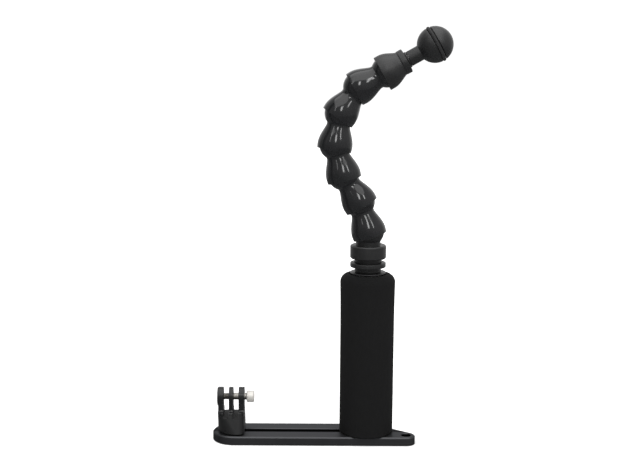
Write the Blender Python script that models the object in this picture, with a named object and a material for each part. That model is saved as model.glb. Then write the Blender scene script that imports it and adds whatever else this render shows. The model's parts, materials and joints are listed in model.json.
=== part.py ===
"""Underwater camera tray: a slotted plate with a camera mount, a foam handle and a ball-jointed arm.

Everything is in metres with +Z up. The plate lies flat on Z = 0, +X points along it from the camera
mount to the handle, and the front is -Y. The origin is the middle of the whole part's underside.
Places along the plate are measured from the handle's axis, which one empty carries to its place.

Angles of the arm are leans from the vertical, positive towards +X.
"""

import math

import bmesh
import bpy
from mathutils import Matrix, Vector

# Clearances and the facets of round pieces
FIT_GAP = 0.0003
CUT_OVERRUN = 0.002
MERGE_DISTANCE = 0.0000005
SHARP_ANGLE = math.radians(35)
ROUND_SIDES = 32
HOSE_SIDES = 24
SCREW_SIDES = 20
HEX_SIDES = 6
FULL_TURN = 2 * math.pi
QUARTER_TURN = math.pi / 2

# Quarter-inch bolts and their washers, which hold the camera mount and the handle from below
BOLT_DIAMETER = 0.00635
BOLT_HEAD_DIAMETER = 0.0102
BOLT_HEAD_HEIGHT = 0.0024
BOLT_SOCKET_ACROSS = 0.0040
BOLT_SOCKET_DEPTH = 0.0014
BOLT_WASHER_RIM = 0.0003
BOLT_WASHER_THICKNESS = 0.0008
BOLT_HEAD_RECESS = 0.0003
POCKET_PLAY = 0.0004

# Tray plate
TRAY_WIDTH = 0.0320
TRAY_THICKNESS = 0.00635
TRAY_END_MARGIN = 0.0133
TRAY_TOP_CHAMFER = 0.0009
TRAY_BOTTOM_CHAMFER = 0.0004
TRAY_CUTBACK_ANGLE = math.radians(36)
TRAY_BACK_CORNER_RADIUS = 0.0060
STRAP_HOLE_REACH = 0.0285
STRAP_HOLE_DIAMETER = 0.0068
STRAP_EAR_RADIUS = 0.0065
SLOT_RIGHT_REACH = 0.0185
SLOT_END_STEPS = 8
TRAY_END_STEPS = 24
TRAY_EAR_STEPS = 16
TRAY_CORNER_STEPS = 4

# Camera mount: a tapered riser with three prongs
MOUNT_REACH = 0.0977
MOUNT_RISE = 0.0152
MOUNT_FOOT_DEPTH = 0.0286
MOUNT_FOOT_RIGHT = 0.0099
MOUNT_TOP_DEPTH = 0.0206
MOUNT_RIM_MARGIN = 0.0003
MOUNT_FOOT_LEFT_FLAT = 0.0005
MOUNT_TOP_LEFT_RADIUS = 0.0050
MOUNT_RIGHT_RADIUS = 0.0050
MOUNT_FOOT_CHAMFER = 0.0008
MOUNT_RIM_CHAMFER = 0.0004
MOUNT_CORNER_STEPS = 8
PRONG_MIDDLE_WIDTH = 0.0029
PRONG_GAP = 0.0041
PRONG_NUT_SIDE_WIDTH = 0.0036
PRONG_KNOB_SIDE_WIDTH = 0.0040
PRONG_HEAD_RADIUS = 0.0069
PRONG_LEG_SET_BACK = 0.00065
PRONG_SCREW_HEIGHT = 0.0250
PRONG_GAP_FLOOR_WALL = 0.0016
PRONG_FOOT_FLARE = 0.0016
PRONG_FOOT_OVERLAP = 0.0010
NUT_BOSS_HEIGHT = 0.0007
NUT_BOSS_RIM = 0.0004
NUT_BOSS_OVERLAP = 0.0010
PRONG_HEAD_STEPS = 16
PRONG_FLARE_STEPS = 4

# Brass insert in the riser's foot
INSERT_DIAMETER = 0.0095
INSERT_LENGTH = 0.0085
INSERT_FLANGE_WIDTH = 0.00065
INSERT_FLANGE_THICKNESS = 0.0010
MOUNT_BOLT_GRIP = 0.0088
MOUNT_BOLT_TIP_ROOM = 0.0010

# Thumb screw and the nut held in the left prong
THUMB_SCREW_DIAMETER = 0.0048
THUMB_SCREW_TIP_INSET = 0.0004
THUMB_KNOB_LIFT = 0.0016
THUMB_KNOB_DIAMETER = 0.0084
THUMB_KNOB_LENGTH = 0.0055
THUMB_KNOB_CHAMFER = 0.0005
PRONG_NUT_ACROSS = 0.0080
PRONG_NUT_THICKNESS = 0.0026

# Handle: a turned core in a foam grip
CORE_DIAMETER = 0.01905
CORE_LENGTH = 0.1164
CORE_CHAMFER = 0.0006
CORE_BOLT_GRIP = 0.0180
CORE_BOLT_TIP_ROOM = 0.0020
GRIP_TOP_DIAMETER = 0.0394
GRIP_TAPER = 0.0008
GRIP_FLAT_MARGIN = 0.0009
GRIP_FOOT_RADIUS = 0.0010
GRIP_SHOULDER_STEPS = 6
GRIP_FOOT_STEPS = 2
GRIP_BODY_STEPS = 2

# Pieces between the grip and the arm
CAP_DIAMETER = 0.0256
CAP_THICKNESS = 0.0008
CAP_CHAMFER = 0.0002
NECK_DIAMETER = 0.0187
NECK_LENGTH = 0.00955
RING_DIAMETER = 0.0254
RING_THICKNESS = 0.0031
RING_CHAMFER = 0.0004
RING_LIFT = 0.0038
COLLAR_DIAMETER = 0.0256
COLLAR_LENGTH = 0.0097
COLLAR_CHAMFER = 0.0008
UPPER_NECK_DIAMETER = 0.0174
UPPER_NECK_LENGTH = 0.00985
STUD_DIAMETER = 0.0095
STUD_DEPTH_IN_CORE = 0.0200
STUD_DEPTH_IN_COLLAR = 0.0140
STUD_HOLE_EXTRA = 0.0010
STUD_CHAMFER = 0.0006

# Hose segments: a bell with a socket below and a ball above
HOSE_PITCH = 0.0221
HOSE_BALL_RADIUS = 0.0112
HOSE_JOINT_GAP = 0.00035
HOSE_BORE_RADIUS = 0.0060
HOSE_MOUTH_RADIUS = 0.0075
HOSE_WAIST_RADIUS = 0.0083
HOSE_SKIRT_WALL = 0.00085
HOSE_RIM_WALL = 0.00065
HOSE_LIP_THICKNESS = 0.0002
HOSE_RIM_DROP = 0.0038
HOSE_THROAT_DROP = 0.0030
HOSE_SKIRT_DROP = 0.0007
HOSE_NECK_LENGTH = 0.00128
HOSE_BELL_STEPS = 6
HOSE_BALL_STEPS = 8
HOSE_SOCKET_STEPS = 6
HOSE_LEANS = tuple(math.radians(lean) for lean in (-18.0, -31.0, -15.5, 9.5, 35.0, 60.5))

# End adapter with its clamping screw
ADAPTER_LEAN = math.radians(60.5)
ADAPTER_SKIRT_WALL = 0.00105
ADAPTER_WAIST_RADIUS = 0.0085
ADAPTER_BELL_LENGTH = 0.0120
ADAPTER_FLANGE_RADIUS = 0.0088
ADAPTER_FLANGE_LENGTH = 0.0043
ADAPTER_FLANGE_CHAMFER = 0.0004
ADAPTER_FLANGE_STEP = 0.0002
ADAPTER_END_WALL = 0.0018
TIP_SCREW_HEAD_DIAMETER = 0.0094
TIP_SCREW_HEAD_HEIGHT = 0.0020
TIP_SCREW_SOCKET_DEPTH = 0.0012
TIP_SCREW_GRIP = 0.0170

# One-inch ball on its stem
STEM_WASHER_DIAMETER = 0.0116
STEM_WASHER_THICKNESS = 0.0010
STEM_DIAMETER = 0.0108
TIP_BALL_DIAMETER = 0.0254
TIP_BALL_REACH = 0.0221
TIP_BALL_STEPS = 8
STEM_HOLE_EXTRA = 0.0010
RING_GROOVE_PLAY = 0.0005
RING_GROOVE_OFFSET = 0.0009
RING_CORD_DIAMETER = 0.0026
RING_STANDS_PROUD = 0.0005
RING_CORD_STEPS = 8

# Sizes that follow from the ones above
BOLT_HOLE_DIAMETER = BOLT_DIAMETER + 2 * FIT_GAP
BOLT_WASHER_DIAMETER = BOLT_HEAD_DIAMETER + 2 * BOLT_WASHER_RIM
POCKET_WIDTH = BOLT_WASHER_DIAMETER + 2 * POCKET_PLAY
POCKET_DEPTH = BOLT_HEAD_RECESS + BOLT_HEAD_HEIGHT + BOLT_WASHER_THICKNESS + 2 * FIT_GAP
BOLT_HEAD_TOP = BOLT_HEAD_RECESS + BOLT_HEAD_HEIGHT
TRAY_LEFT_REACH = MOUNT_REACH + TRAY_END_MARGIN
FOOT_HEIGHT = TRAY_THICKNESS + FIT_GAP
MOUNT_BOLT_HOLE_DEPTH = MOUNT_BOLT_GRIP + MOUNT_BOLT_TIP_ROOM
PRONG_GAP_FLOOR_HEIGHT = MOUNT_BOLT_HOLE_DEPTH + PRONG_GAP_FLOOR_WALL
INSERT_FLANGE_DIAMETER = INSERT_DIAMETER + 2 * INSERT_FLANGE_WIDTH
CORE_BOLT_HOLE_DEPTH = CORE_BOLT_GRIP + CORE_BOLT_TIP_ROOM
GRIP_FOOT_DIAMETER = GRIP_TOP_DIAMETER - GRIP_TAPER
GRIP_SHOULDER_RADIUS = (GRIP_TOP_DIAMETER - CAP_DIAMETER) / 2 - GRIP_FLAT_MARGIN
GRIP_TOP_HEIGHT = FOOT_HEIGHT + CORE_LENGTH
CAP_HEIGHT = GRIP_TOP_HEIGHT + FIT_GAP
CONNECTOR_HEIGHT = CAP_HEIGHT + CAP_THICKNESS + FIT_GAP
BASE_BALL_RISE = NECK_LENGTH + COLLAR_LENGTH + UPPER_NECK_LENGTH
HOSE_SOCKET_RADIUS = HOSE_BALL_RADIUS + HOSE_JOINT_GAP
HOSE_SKIRT_RADIUS = HOSE_SOCKET_RADIUS + HOSE_SKIRT_WALL
HOSE_RIM_RADIUS = HOSE_SOCKET_RADIUS + HOSE_RIM_WALL
HOSE_BALL_WAIST = math.sqrt(HOSE_BALL_RADIUS**2 - HOSE_WAIST_RADIUS**2)
HOSE_BELL_LENGTH = HOSE_PITCH + HOSE_SKIRT_DROP - HOSE_BALL_WAIST - HOSE_NECK_LENGTH
ADAPTER_SKIRT_RADIUS = HOSE_SOCKET_RADIUS + ADAPTER_SKIRT_WALL
ADAPTER_LENGTH = ADAPTER_BELL_LENGTH - HOSE_SKIRT_DROP + ADAPTER_FLANGE_LENGTH
TIP_SCREW_HOLE_DIAMETER = TIP_SCREW_HEAD_DIAMETER + 2 * FIT_GAP
STEM_START = ADAPTER_LENGTH + 2 * FIT_GAP + STEM_WASHER_THICKNESS
TIP_BALL_CENTRE = ADAPTER_LENGTH + TIP_BALL_REACH
RING_GROOVE_WIDTH = RING_CORD_DIAMETER + FIT_GAP + RING_GROOVE_PLAY
NUT_SIDE_REACH = PRONG_MIDDLE_WIDTH / 2 + PRONG_GAP + PRONG_NUT_SIDE_WIDTH
NUT_FACE_REACH = NUT_SIDE_REACH + NUT_BOSS_HEIGHT
NUT_BOSS_DIAMETER = 2 * (PRONG_HEAD_RADIUS - NUT_BOSS_RIM)
KNOB_SIDE_REACH = PRONG_MIDDLE_WIDTH / 2 + PRONG_GAP + PRONG_KNOB_SIDE_WIDTH
MOUNT_LEFT = NUT_SIDE_REACH + MOUNT_RIM_MARGIN
MOUNT_FOOT_LEFT_RADIUS = (
    min(MOUNT_FOOT_DEPTH / 2, MOUNT_LEFT + MOUNT_FOOT_RIGHT - MOUNT_RIGHT_RADIUS) - MOUNT_FOOT_LEFT_FLAT
)


def arm_reach():
    """How far the arm's last ball stands to the right of the handle's axis."""
    to_last_socket = sum(HOSE_PITCH * math.sin(lean) for lean in HOSE_LEANS)
    to_ball = TIP_BALL_CENTRE * math.sin(ADAPTER_LEAN)
    return to_last_socket + to_ball + TIP_BALL_DIAMETER / 2


HANDLE_X = (TRAY_LEFT_REACH - arm_reach()) / 2


# Shared modelling functions

def clear_scene():
    for old in list(bpy.data.objects):
        bpy.data.objects.remove(old, do_unlink=True)


def make_material(name, colour, roughness, metallic):
    material = bpy.data.materials.new(name)
    material.use_nodes = True
    shader = material.node_tree.nodes["Principled BSDF"]
    shader.inputs["Base Color"].default_value = (*colour, 1.0)
    shader.inputs["Roughness"].default_value = roughness
    shader.inputs["Metallic"].default_value = metallic
    material.diffuse_color = (*colour, 1.0)
    return material


def link_mesh(bm, name, material=None, parent=None, location=(0, 0, 0), rotation=(0, 0, 0)):
    """Turn a bmesh into an object, with smooth round sides and sharp corners."""
    bmesh.ops.recalc_face_normals(bm, faces=bm.faces)
    mesh = bpy.data.meshes.new(name)
    bm.to_mesh(mesh)
    bm.free()
    mesh.shade_smooth()
    mesh.set_sharp_from_angle(angle=SHARP_ANGLE)
    item = bpy.data.objects.new(name, mesh)
    bpy.context.collection.objects.link(item)
    item.parent = parent
    item.location = location
    item.rotation_euler = rotation
    if material is not None:
        mesh.materials.append(material)
    return item


def make_empty(name, parent=None, location=(0, 0, 0), rotation=(0, 0, 0)):
    empty = bpy.data.objects.new(name, None)
    bpy.context.collection.objects.link(empty)
    empty.parent = parent
    empty.location = location
    empty.rotation_euler = rotation
    return empty


def arc_points(centre, radius, start, end, steps):
    """Points on an arc in a plane, with both ends."""
    points = []
    for step in range(steps + 1):
        angle = start + (end - start) * step / steps
        points.append((centre[0] + radius * math.cos(angle), centre[1] + radius * math.sin(angle)))
    return points


def turned(profile, sides, closed=False):
    """Turn (radius, height) points about +Z. An open profile starts and ends on the axis."""
    bm = bmesh.new()
    corners = [bm.verts.new((radius, 0, height)) for radius, height in profile]
    pairs = list(zip(corners, corners[1:]))
    if closed:
        pairs.append((corners[-1], corners[0]))
    edges = [bm.edges.new(pair) for pair in pairs]
    bmesh.ops.spin(
        bm,
        geom=corners + edges,
        axis=(0, 0, 1),
        cent=(0, 0, 0),
        steps=sides,
        angle=FULL_TURN,
        use_merge=True,
    )
    bmesh.ops.remove_doubles(bm, verts=bm.verts, dist=MERGE_DISTANCE)
    return bm


def extruded(outline, start, end):
    """A prism over a flat outline of (x, y) points, from height start to height end."""
    bm = bmesh.new()
    base = bm.faces.new([bm.verts.new((x, y, start)) for x, y in outline])
    moved = bmesh.ops.extrude_face_region(bm, geom=[base])
    top = [item for item in moved["geom"] if isinstance(item, bmesh.types.BMVert)]
    bmesh.ops.translate(bm, verts=top, vec=(0, 0, end - start))
    return bm


def lofted(rings):
    """A closed body through rings that have equal numbers of points."""
    bm = bmesh.new()
    levels = [[bm.verts.new(point) for point in ring] for ring in rings]
    for lower, upper in zip(levels, levels[1:]):
        for index in range(len(lower)):
            after = (index + 1) % len(lower)
            bm.faces.new((lower[index], lower[after], upper[after], upper[index]))
    bm.faces.new(levels[0])
    bm.faces.new(levels[-1])
    return bm


def stadium(left, right, width, steps):
    """Outline of a slot along X whose end arcs are centred at left and right."""
    start = QUARTER_TURN
    left_end = arc_points((left, 0), width / 2, start, start + math.pi, steps)
    right_end = arc_points((right, 0), width / 2, -start, start, steps)
    return left_end + right_end


def polygon(across_flats, sides):
    """Outline of a regular polygon of a given width across its flats."""
    corner = across_flats / 2 / math.cos(math.pi / sides)
    return arc_points((0, 0), corner, 0, FULL_TURN * (sides - 1) / sides, sides - 1)


def rod(diameter, start, end, sides):
    return extruded(polygon(diameter * math.cos(math.pi / sides), sides), start, end)


def turn_to_x(bm):
    """Turn a body made along +Z so that it lies along +X."""
    bmesh.ops.rotate(bm, verts=bm.verts, cent=(0, 0, 0), matrix=Matrix.Rotation(QUARTER_TURN, 3, "Y"))
    return bm


def combine(target, bm, name, operation, location=(0, 0, 0)):
    """Cut a body out of a target or join it on, with the body kept as a hidden guide on the target."""
    guide = link_mesh(bm, name, parent=target, location=location)
    guide.hide_render = True
    guide.display_type = "WIRE"
    modifier = target.modifiers.new(name, "BOOLEAN")
    modifier.operation = operation
    modifier.solver = "EXACT"
    modifier.object = guide
    return guide


def chamfered_disc(radius, start, end, chamfer):
    """Outer corners of a turned disc, from its lower face to its upper one."""
    face = radius - chamfer
    return [(face, start), (radius, start + chamfer), (radius, end - chamfer), (face, end)]


def washer(name, outer, inner, thickness, sides, material, parent, location):
    profile = [(inner / 2, 0), (outer / 2, 0), (outer / 2, thickness), (inner / 2, thickness)]
    return link_mesh(turned(profile, sides, closed=True), name, material, parent, location)


def headed_screw(diameter, length, head_diameter, head_height):
    """A screw with its head at Z = 0 and its shank up to the given length past the head."""
    profile = [
        (0, 0),
        (head_diameter / 2, 0),
        (head_diameter / 2, head_height),
        (diameter / 2, head_height),
        (diameter / 2, head_height + length),
        (0, head_height + length),
    ]
    return turned(profile, SCREW_SIDES)


# Tray plate

def tray_outline():
    """Full-round left end, straight front, an ear round the strap hole and a back corner cut away."""
    half = TRAY_WIDTH / 2
    left_centre = (half - TRAY_LEFT_REACH, 0)
    left_end = arc_points(left_centre, half, QUARTER_TURN, QUARTER_TURN + math.pi, TRAY_END_STEPS)
    ear_centre = (STRAP_HOLE_REACH, STRAP_EAR_RADIUS - half)
    cutback_normal = QUARTER_TURN - TRAY_CUTBACK_ANGLE
    ear = arc_points(ear_centre, STRAP_EAR_RADIUS, -QUARTER_TURN, cutback_normal, TRAY_EAR_STEPS)
    corner_height = half - TRAY_BACK_CORNER_RADIUS
    touch = ear[-1]
    run = Vector((-math.cos(TRAY_CUTBACK_ANGLE), math.sin(TRAY_CUTBACK_ANGLE)))
    side = Vector((math.cos(cutback_normal), math.sin(cutback_normal))) * TRAY_BACK_CORNER_RADIUS
    climb = (corner_height - touch[1] + side.y) / run.y
    corner_centre = (touch[0] + run.x * climb - side.x, corner_height)
    corner = arc_points(
        corner_centre, TRAY_BACK_CORNER_RADIUS, cutback_normal, QUARTER_TURN, TRAY_CORNER_STEPS
    )
    return left_end + ear + corner


def make_tray_plate(parent, material):
    bm = extruded(tray_outline(), 0, TRAY_THICKNESS)
    top_edges = [e for e in bm.edges if all(v.co.z > TRAY_THICKNESS / 2 for v in e.verts)]
    bmesh.ops.bevel(bm, geom=top_edges, offset=TRAY_TOP_CHAMFER, segments=1, affect="EDGES")
    bottom_edges = [e for e in bm.edges if all(v.co.z < TRAY_BOTTOM_CHAMFER for v in e.verts)]
    bmesh.ops.bevel(bm, geom=bottom_edges, offset=TRAY_BOTTOM_CHAMFER, segments=1, affect="EDGES")
    plate = link_mesh(bm, "tray_plate", material, parent)

    low = -CUT_OVERRUN
    high = TRAY_THICKNESS + CUT_OVERRUN
    slot = stadium(-MOUNT_REACH, -SLOT_RIGHT_REACH, BOLT_HOLE_DIAMETER, SLOT_END_STEPS)
    pocket = stadium(-MOUNT_REACH, -SLOT_RIGHT_REACH, POCKET_WIDTH, SLOT_END_STEPS)
    combine(plate, extruded(slot, low, high), "slot_cut", "DIFFERENCE")
    combine(plate, extruded(pocket, low, POCKET_DEPTH), "slot_pocket_cut", "DIFFERENCE")
    combine(plate, rod(BOLT_HOLE_DIAMETER, low, high, SCREW_SIDES), "handle_hole_cut", "DIFFERENCE")
    combine(plate, rod(POCKET_WIDTH, low, POCKET_DEPTH, SCREW_SIDES), "handle_pocket_cut", "DIFFERENCE")
    strap_hole = rod(STRAP_HOLE_DIAMETER, low, high, SCREW_SIDES)
    strap_place = (STRAP_HOLE_REACH, STRAP_EAR_RADIUS - TRAY_WIDTH / 2, 0)
    combine(plate, strap_hole, "strap_hole_cut", "DIFFERENCE", strap_place)
    return plate


# Quarter-inch fasteners

def make_tray_bolt(name, grip, parent, location, material):
    """A bolt from below. Its head is in the pocket and its shank reaches grip past the tray's top."""
    through = TRAY_THICKNESS - BOLT_HEAD_TOP
    bm = headed_screw(BOLT_DIAMETER, through + grip, BOLT_HEAD_DIAMETER, BOLT_HEAD_HEIGHT)
    bolt = link_mesh(bm, name, material, parent, location)
    socket = extruded(polygon(BOLT_SOCKET_ACROSS, HEX_SIDES), -CUT_OVERRUN, BOLT_SOCKET_DEPTH)
    combine(bolt, socket, name + "_socket_cut", "DIFFERENCE")
    return bolt


def make_tray_washer(name, parent, location, material):
    return washer(
        name,
        BOLT_WASHER_DIAMETER,
        BOLT_HOLE_DIAMETER,
        BOLT_WASHER_THICKNESS,
        SCREW_SIDES,
        material,
        parent,
        location,
    )


# Camera mount

def mount_ring(height, left, right, depth, left_radius, inset):
    """One level of the riser: a rectangle with round corners, wider ones on its left."""
    low_x = inset - left
    high_x = right - inset
    half = depth / 2 - inset
    left_corner = left_radius - inset
    right_corner = MOUNT_RIGHT_RADIUS - inset
    corners = (
        ((low_x + left_corner, left_corner - half), left_corner, math.pi),
        ((high_x - right_corner, right_corner - half), right_corner, math.pi + QUARTER_TURN),
        ((high_x - right_corner, half - right_corner), right_corner, FULL_TURN),
        ((low_x + left_corner, half - left_corner), left_corner, QUARTER_TURN),
    )
    points = []
    for centre, radius, start in corners:
        arc = arc_points(centre, radius, start, start + QUARTER_TURN, MOUNT_CORNER_STEPS)
        points += [(x, y, height) for x, y in arc]
    return points


def prong_block():
    """The prongs before their gaps are cut: a round head on legs with flared feet, from the side."""
    flare = PRONG_FOOT_FLARE
    radius = PRONG_HEAD_RADIUS
    leg = radius - PRONG_LEG_SET_BACK
    base = MOUNT_RISE - PRONG_FOOT_OVERLAP
    rim = MOUNT_RISE + flare
    under = math.acos(leg / radius)
    front = arc_points((leg + flare, rim), flare, -QUARTER_TURN, -math.pi, PRONG_FLARE_STEPS)
    head = arc_points((0, PRONG_SCREW_HEIGHT), radius, -under, math.pi + under, PRONG_HEAD_STEPS)
    back = arc_points((-leg - flare, rim), flare, 0, -QUARTER_TURN, PRONG_FLARE_STEPS)
    outline = [(leg + flare, base)] + front + head + back + [(-leg - flare, base)]
    levels = []
    for x in (-NUT_SIDE_REACH, KNOB_SIDE_REACH):
        levels.append([(x, y, z) for y, z in outline])
    return lofted(levels)


def box_between(low, high):
    corners = [(low[0], low[1]), (high[0], low[1]), (high[0], high[1]), (low[0], high[1])]
    return extruded(corners, low[2], high[2])


def make_camera_mount(parent, location, material):
    top_right = KNOB_SIDE_REACH + MOUNT_RIM_MARGIN
    foot = (MOUNT_LEFT, MOUNT_FOOT_RIGHT, MOUNT_FOOT_DEPTH, MOUNT_FOOT_LEFT_RADIUS)
    top = (MOUNT_LEFT, top_right, MOUNT_TOP_DEPTH, MOUNT_TOP_LEFT_RADIUS)
    rings = [
        mount_ring(0, *foot, MOUNT_FOOT_CHAMFER),
        mount_ring(MOUNT_FOOT_CHAMFER, *foot, 0),
        mount_ring(MOUNT_RISE - MOUNT_RIM_CHAMFER, *top, 0),
        mount_ring(MOUNT_RISE, *top, MOUNT_RIM_CHAMFER),
    ]
    mount = link_mesh(lofted(rings), "camera_mount", material, parent, location)
    combine(mount, prong_block(), "prong_block_join", "UNION")

    gap_start = PRONG_MIDDLE_WIDTH / 2
    gap_end = gap_start + PRONG_GAP
    gap_depth = MOUNT_FOOT_DEPTH / 2 + CUT_OVERRUN
    gap_top = PRONG_SCREW_HEIGHT + PRONG_HEAD_RADIUS + CUT_OVERRUN
    for name, low_x, high_x in (("left", -gap_end, -gap_start), ("right", gap_start, gap_end)):
        gap = box_between((low_x, -gap_depth, PRONG_GAP_FLOOR_HEIGHT), (high_x, gap_depth, gap_top))
        combine(mount, gap, name + "_prong_gap_cut", "DIFFERENCE")

    screw_place = (0, 0, PRONG_SCREW_HEIGHT)
    boss = rod(NUT_BOSS_DIAMETER, -NUT_FACE_REACH, NUT_BOSS_OVERLAP - NUT_SIDE_REACH, ROUND_SIDES)
    combine(mount, turn_to_x(boss), "nut_boss_join", "UNION", screw_place)
    screw_bore = THUMB_SCREW_DIAMETER + 2 * FIT_GAP
    bore = rod(screw_bore, -NUT_FACE_REACH - CUT_OVERRUN, KNOB_SIDE_REACH + CUT_OVERRUN, SCREW_SIDES)
    combine(mount, turn_to_x(bore), "screw_bore_cut", "DIFFERENCE", screw_place)
    nut_hole = polygon(PRONG_NUT_ACROSS + 2 * FIT_GAP, HEX_SIDES)
    nut_floor = PRONG_NUT_THICKNESS + FIT_GAP - NUT_FACE_REACH
    recess = extruded(nut_hole, -NUT_FACE_REACH - CUT_OVERRUN, nut_floor)
    combine(mount, turn_to_x(recess), "nut_recess_cut", "DIFFERENCE", screw_place)

    for name, diameter, depth in (
        ("insert_flange_cut", INSERT_FLANGE_DIAMETER + 2 * FIT_GAP, INSERT_FLANGE_THICKNESS + FIT_GAP),
        ("insert_bore_cut", INSERT_DIAMETER + 2 * FIT_GAP, INSERT_LENGTH + FIT_GAP),
        ("bolt_tip_cut", BOLT_HOLE_DIAMETER, MOUNT_BOLT_HOLE_DEPTH),
    ):
        combine(mount, rod(diameter, -CUT_OVERRUN, depth, SCREW_SIDES), name, "DIFFERENCE")
    return mount


def make_mount_insert(parent, location, material):
    """Threaded brass insert, with a flange that bears on the tray."""
    hole = BOLT_HOLE_DIAMETER / 2
    profile = [
        (hole, 0),
        (INSERT_FLANGE_DIAMETER / 2, 0),
        (INSERT_FLANGE_DIAMETER / 2, INSERT_FLANGE_THICKNESS),
        (INSERT_DIAMETER / 2, INSERT_FLANGE_THICKNESS),
        (INSERT_DIAMETER / 2, INSERT_LENGTH),
        (hole, INSERT_LENGTH),
    ]
    return link_mesh(turned(profile, SCREW_SIDES, closed=True), "mount_insert", material, parent, location)


def make_prong_nut(parent, location, material):
    outer_end = -NUT_FACE_REACH
    inner_end = PRONG_NUT_THICKNESS - NUT_FACE_REACH
    bm = extruded(polygon(PRONG_NUT_ACROSS, HEX_SIDES), outer_end, inner_end)
    nut = link_mesh(turn_to_x(bm), "prong_nut", material, parent, location)
    hole_diameter = THUMB_SCREW_DIAMETER + 2 * FIT_GAP
    hole = rod(hole_diameter, outer_end - CUT_OVERRUN, inner_end + CUT_OVERRUN, SCREW_SIDES)
    combine(nut, turn_to_x(hole), "prong_nut_hole_cut", "DIFFERENCE")
    return nut


def make_thumb_screw(parent, location, material):
    """A knob on a shank that runs through the prongs into the nut, not yet turned home."""
    knob_start = KNOB_SIDE_REACH + THUMB_KNOB_LIFT
    knob = chamfered_disc(
        THUMB_KNOB_DIAMETER / 2, knob_start, knob_start + THUMB_KNOB_LENGTH, THUMB_KNOB_CHAMFER
    )
    tip = THUMB_SCREW_TIP_INSET - NUT_FACE_REACH
    profile = [(0, tip), (THUMB_SCREW_DIAMETER / 2, tip), (THUMB_SCREW_DIAMETER / 2, knob_start)]
    profile += knob + [(0, knob_start + THUMB_KNOB_LENGTH)]
    return link_mesh(turn_to_x(turned(profile, SCREW_SIDES)), "thumb_screw", material, parent, location)


# Handle

def make_handle_core(parent, location, material):
    """Turned bar with a threaded hole in each end."""
    bolt_hole = BOLT_HOLE_DIAMETER / 2
    stud_hole = STUD_DIAMETER / 2 + FIT_GAP
    profile = [(0, CORE_BOLT_HOLE_DEPTH), (bolt_hole, CORE_BOLT_HOLE_DEPTH), (bolt_hole, 0)]
    profile += chamfered_disc(CORE_DIAMETER / 2, 0, CORE_LENGTH, CORE_CHAMFER)
    stud_floor = CORE_LENGTH - STUD_DEPTH_IN_CORE - STUD_HOLE_EXTRA
    profile += [(stud_hole, CORE_LENGTH), (stud_hole, stud_floor), (0, stud_floor)]
    return link_mesh(turned(profile, SCREW_SIDES), "handle_core", material, parent, location)


def make_foam_grip(parent, location, material):
    """Soft sleeve on the core, a little wider at its top, with a round shoulder."""
    inner = CORE_DIAMETER / 2 + FIT_GAP
    foot = GRIP_FOOT_DIAMETER / 2
    top = GRIP_TOP_DIAMETER / 2
    foot_centre = (foot - GRIP_FOOT_RADIUS, GRIP_FOOT_RADIUS)
    top_centre = (top - GRIP_SHOULDER_RADIUS, CORE_LENGTH - GRIP_SHOULDER_RADIUS)
    profile = [(inner, 0)]
    profile += arc_points(foot_centre, GRIP_FOOT_RADIUS, -QUARTER_TURN, 0, GRIP_FOOT_STEPS)
    for step in range(1, GRIP_BODY_STEPS):
        share = step / GRIP_BODY_STEPS
        radius = foot + (top - foot) * share
        profile.append((radius, GRIP_FOOT_RADIUS + (top_centre[1] - GRIP_FOOT_RADIUS) * share))
    profile += arc_points(top_centre, GRIP_SHOULDER_RADIUS, 0, QUARTER_TURN, GRIP_SHOULDER_STEPS)
    profile.append((inner, CORE_LENGTH))
    return link_mesh(turned(profile, ROUND_SIDES, closed=True), "foam_grip", material, parent, location)


def make_turned_ring(name, hole_radius, disc, parent, location, material):
    profile = [(hole_radius, disc[0][1])] + disc + [(hole_radius, disc[-1][1])]
    return link_mesh(turned(profile, ROUND_SIDES, closed=True), name, material, parent, location)


def make_arm_stud(parent, location, material):
    """Steel stud from the core's top hole into the collar. Z = 0 is the connector's lower face."""
    bottom = -FIT_GAP - CAP_THICKNESS - FIT_GAP - STUD_DEPTH_IN_CORE
    disc = chamfered_disc(STUD_DIAMETER / 2, bottom, STUD_DEPTH_IN_COLLAR, STUD_CHAMFER)
    profile = [(0, bottom)] + disc + [(0, STUD_DEPTH_IN_COLLAR)]
    return link_mesh(turned(profile, SCREW_SIDES), "arm_stud", material, parent, location)


# Ball joints of the arm

def ball_profile(centre, waist_radius):
    """From the waist round the ball to its open mouth, and back down its bore to the waist."""
    waist_angle = math.acos(waist_radius / HOSE_BALL_RADIUS)
    mouth_angle = math.acos(HOSE_MOUTH_RADIUS / HOSE_BALL_RADIUS)
    points = arc_points((0, centre), HOSE_BALL_RADIUS, -waist_angle, mouth_angle, HOSE_BALL_STEPS)
    return points + [(HOSE_BORE_RADIUS, points[-1][1])]


def bell_profile(skirt_radius, rim_radius, waist_radius, length):
    """From the rim up a round skirt that draws in to the waist as a quarter of a cosine wave."""
    points = [(rim_radius, -HOSE_RIM_DROP)]
    for step in range(HOSE_BELL_STEPS + 1):
        share = step / HOSE_BELL_STEPS
        radius = waist_radius + (skirt_radius - waist_radius) * math.cos(QUARTER_TURN * share)
        points.append((radius, share * length - HOSE_SKIRT_DROP))
    return points


def socket_profile(rim_radius, opening_radius):
    """From the bore down the inside of the socket to its throat, and out to the thin lip of the rim."""
    opening_angle = math.acos(opening_radius / HOSE_SOCKET_RADIUS)
    throat_angle = -math.asin(HOSE_THROAT_DROP / HOSE_SOCKET_RADIUS)
    points = arc_points((0, 0), HOSE_SOCKET_RADIUS, opening_angle, throat_angle, HOSE_SOCKET_STEPS)
    return points + [(rim_radius - HOSE_LIP_THICKNESS, -HOSE_RIM_DROP)]


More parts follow.
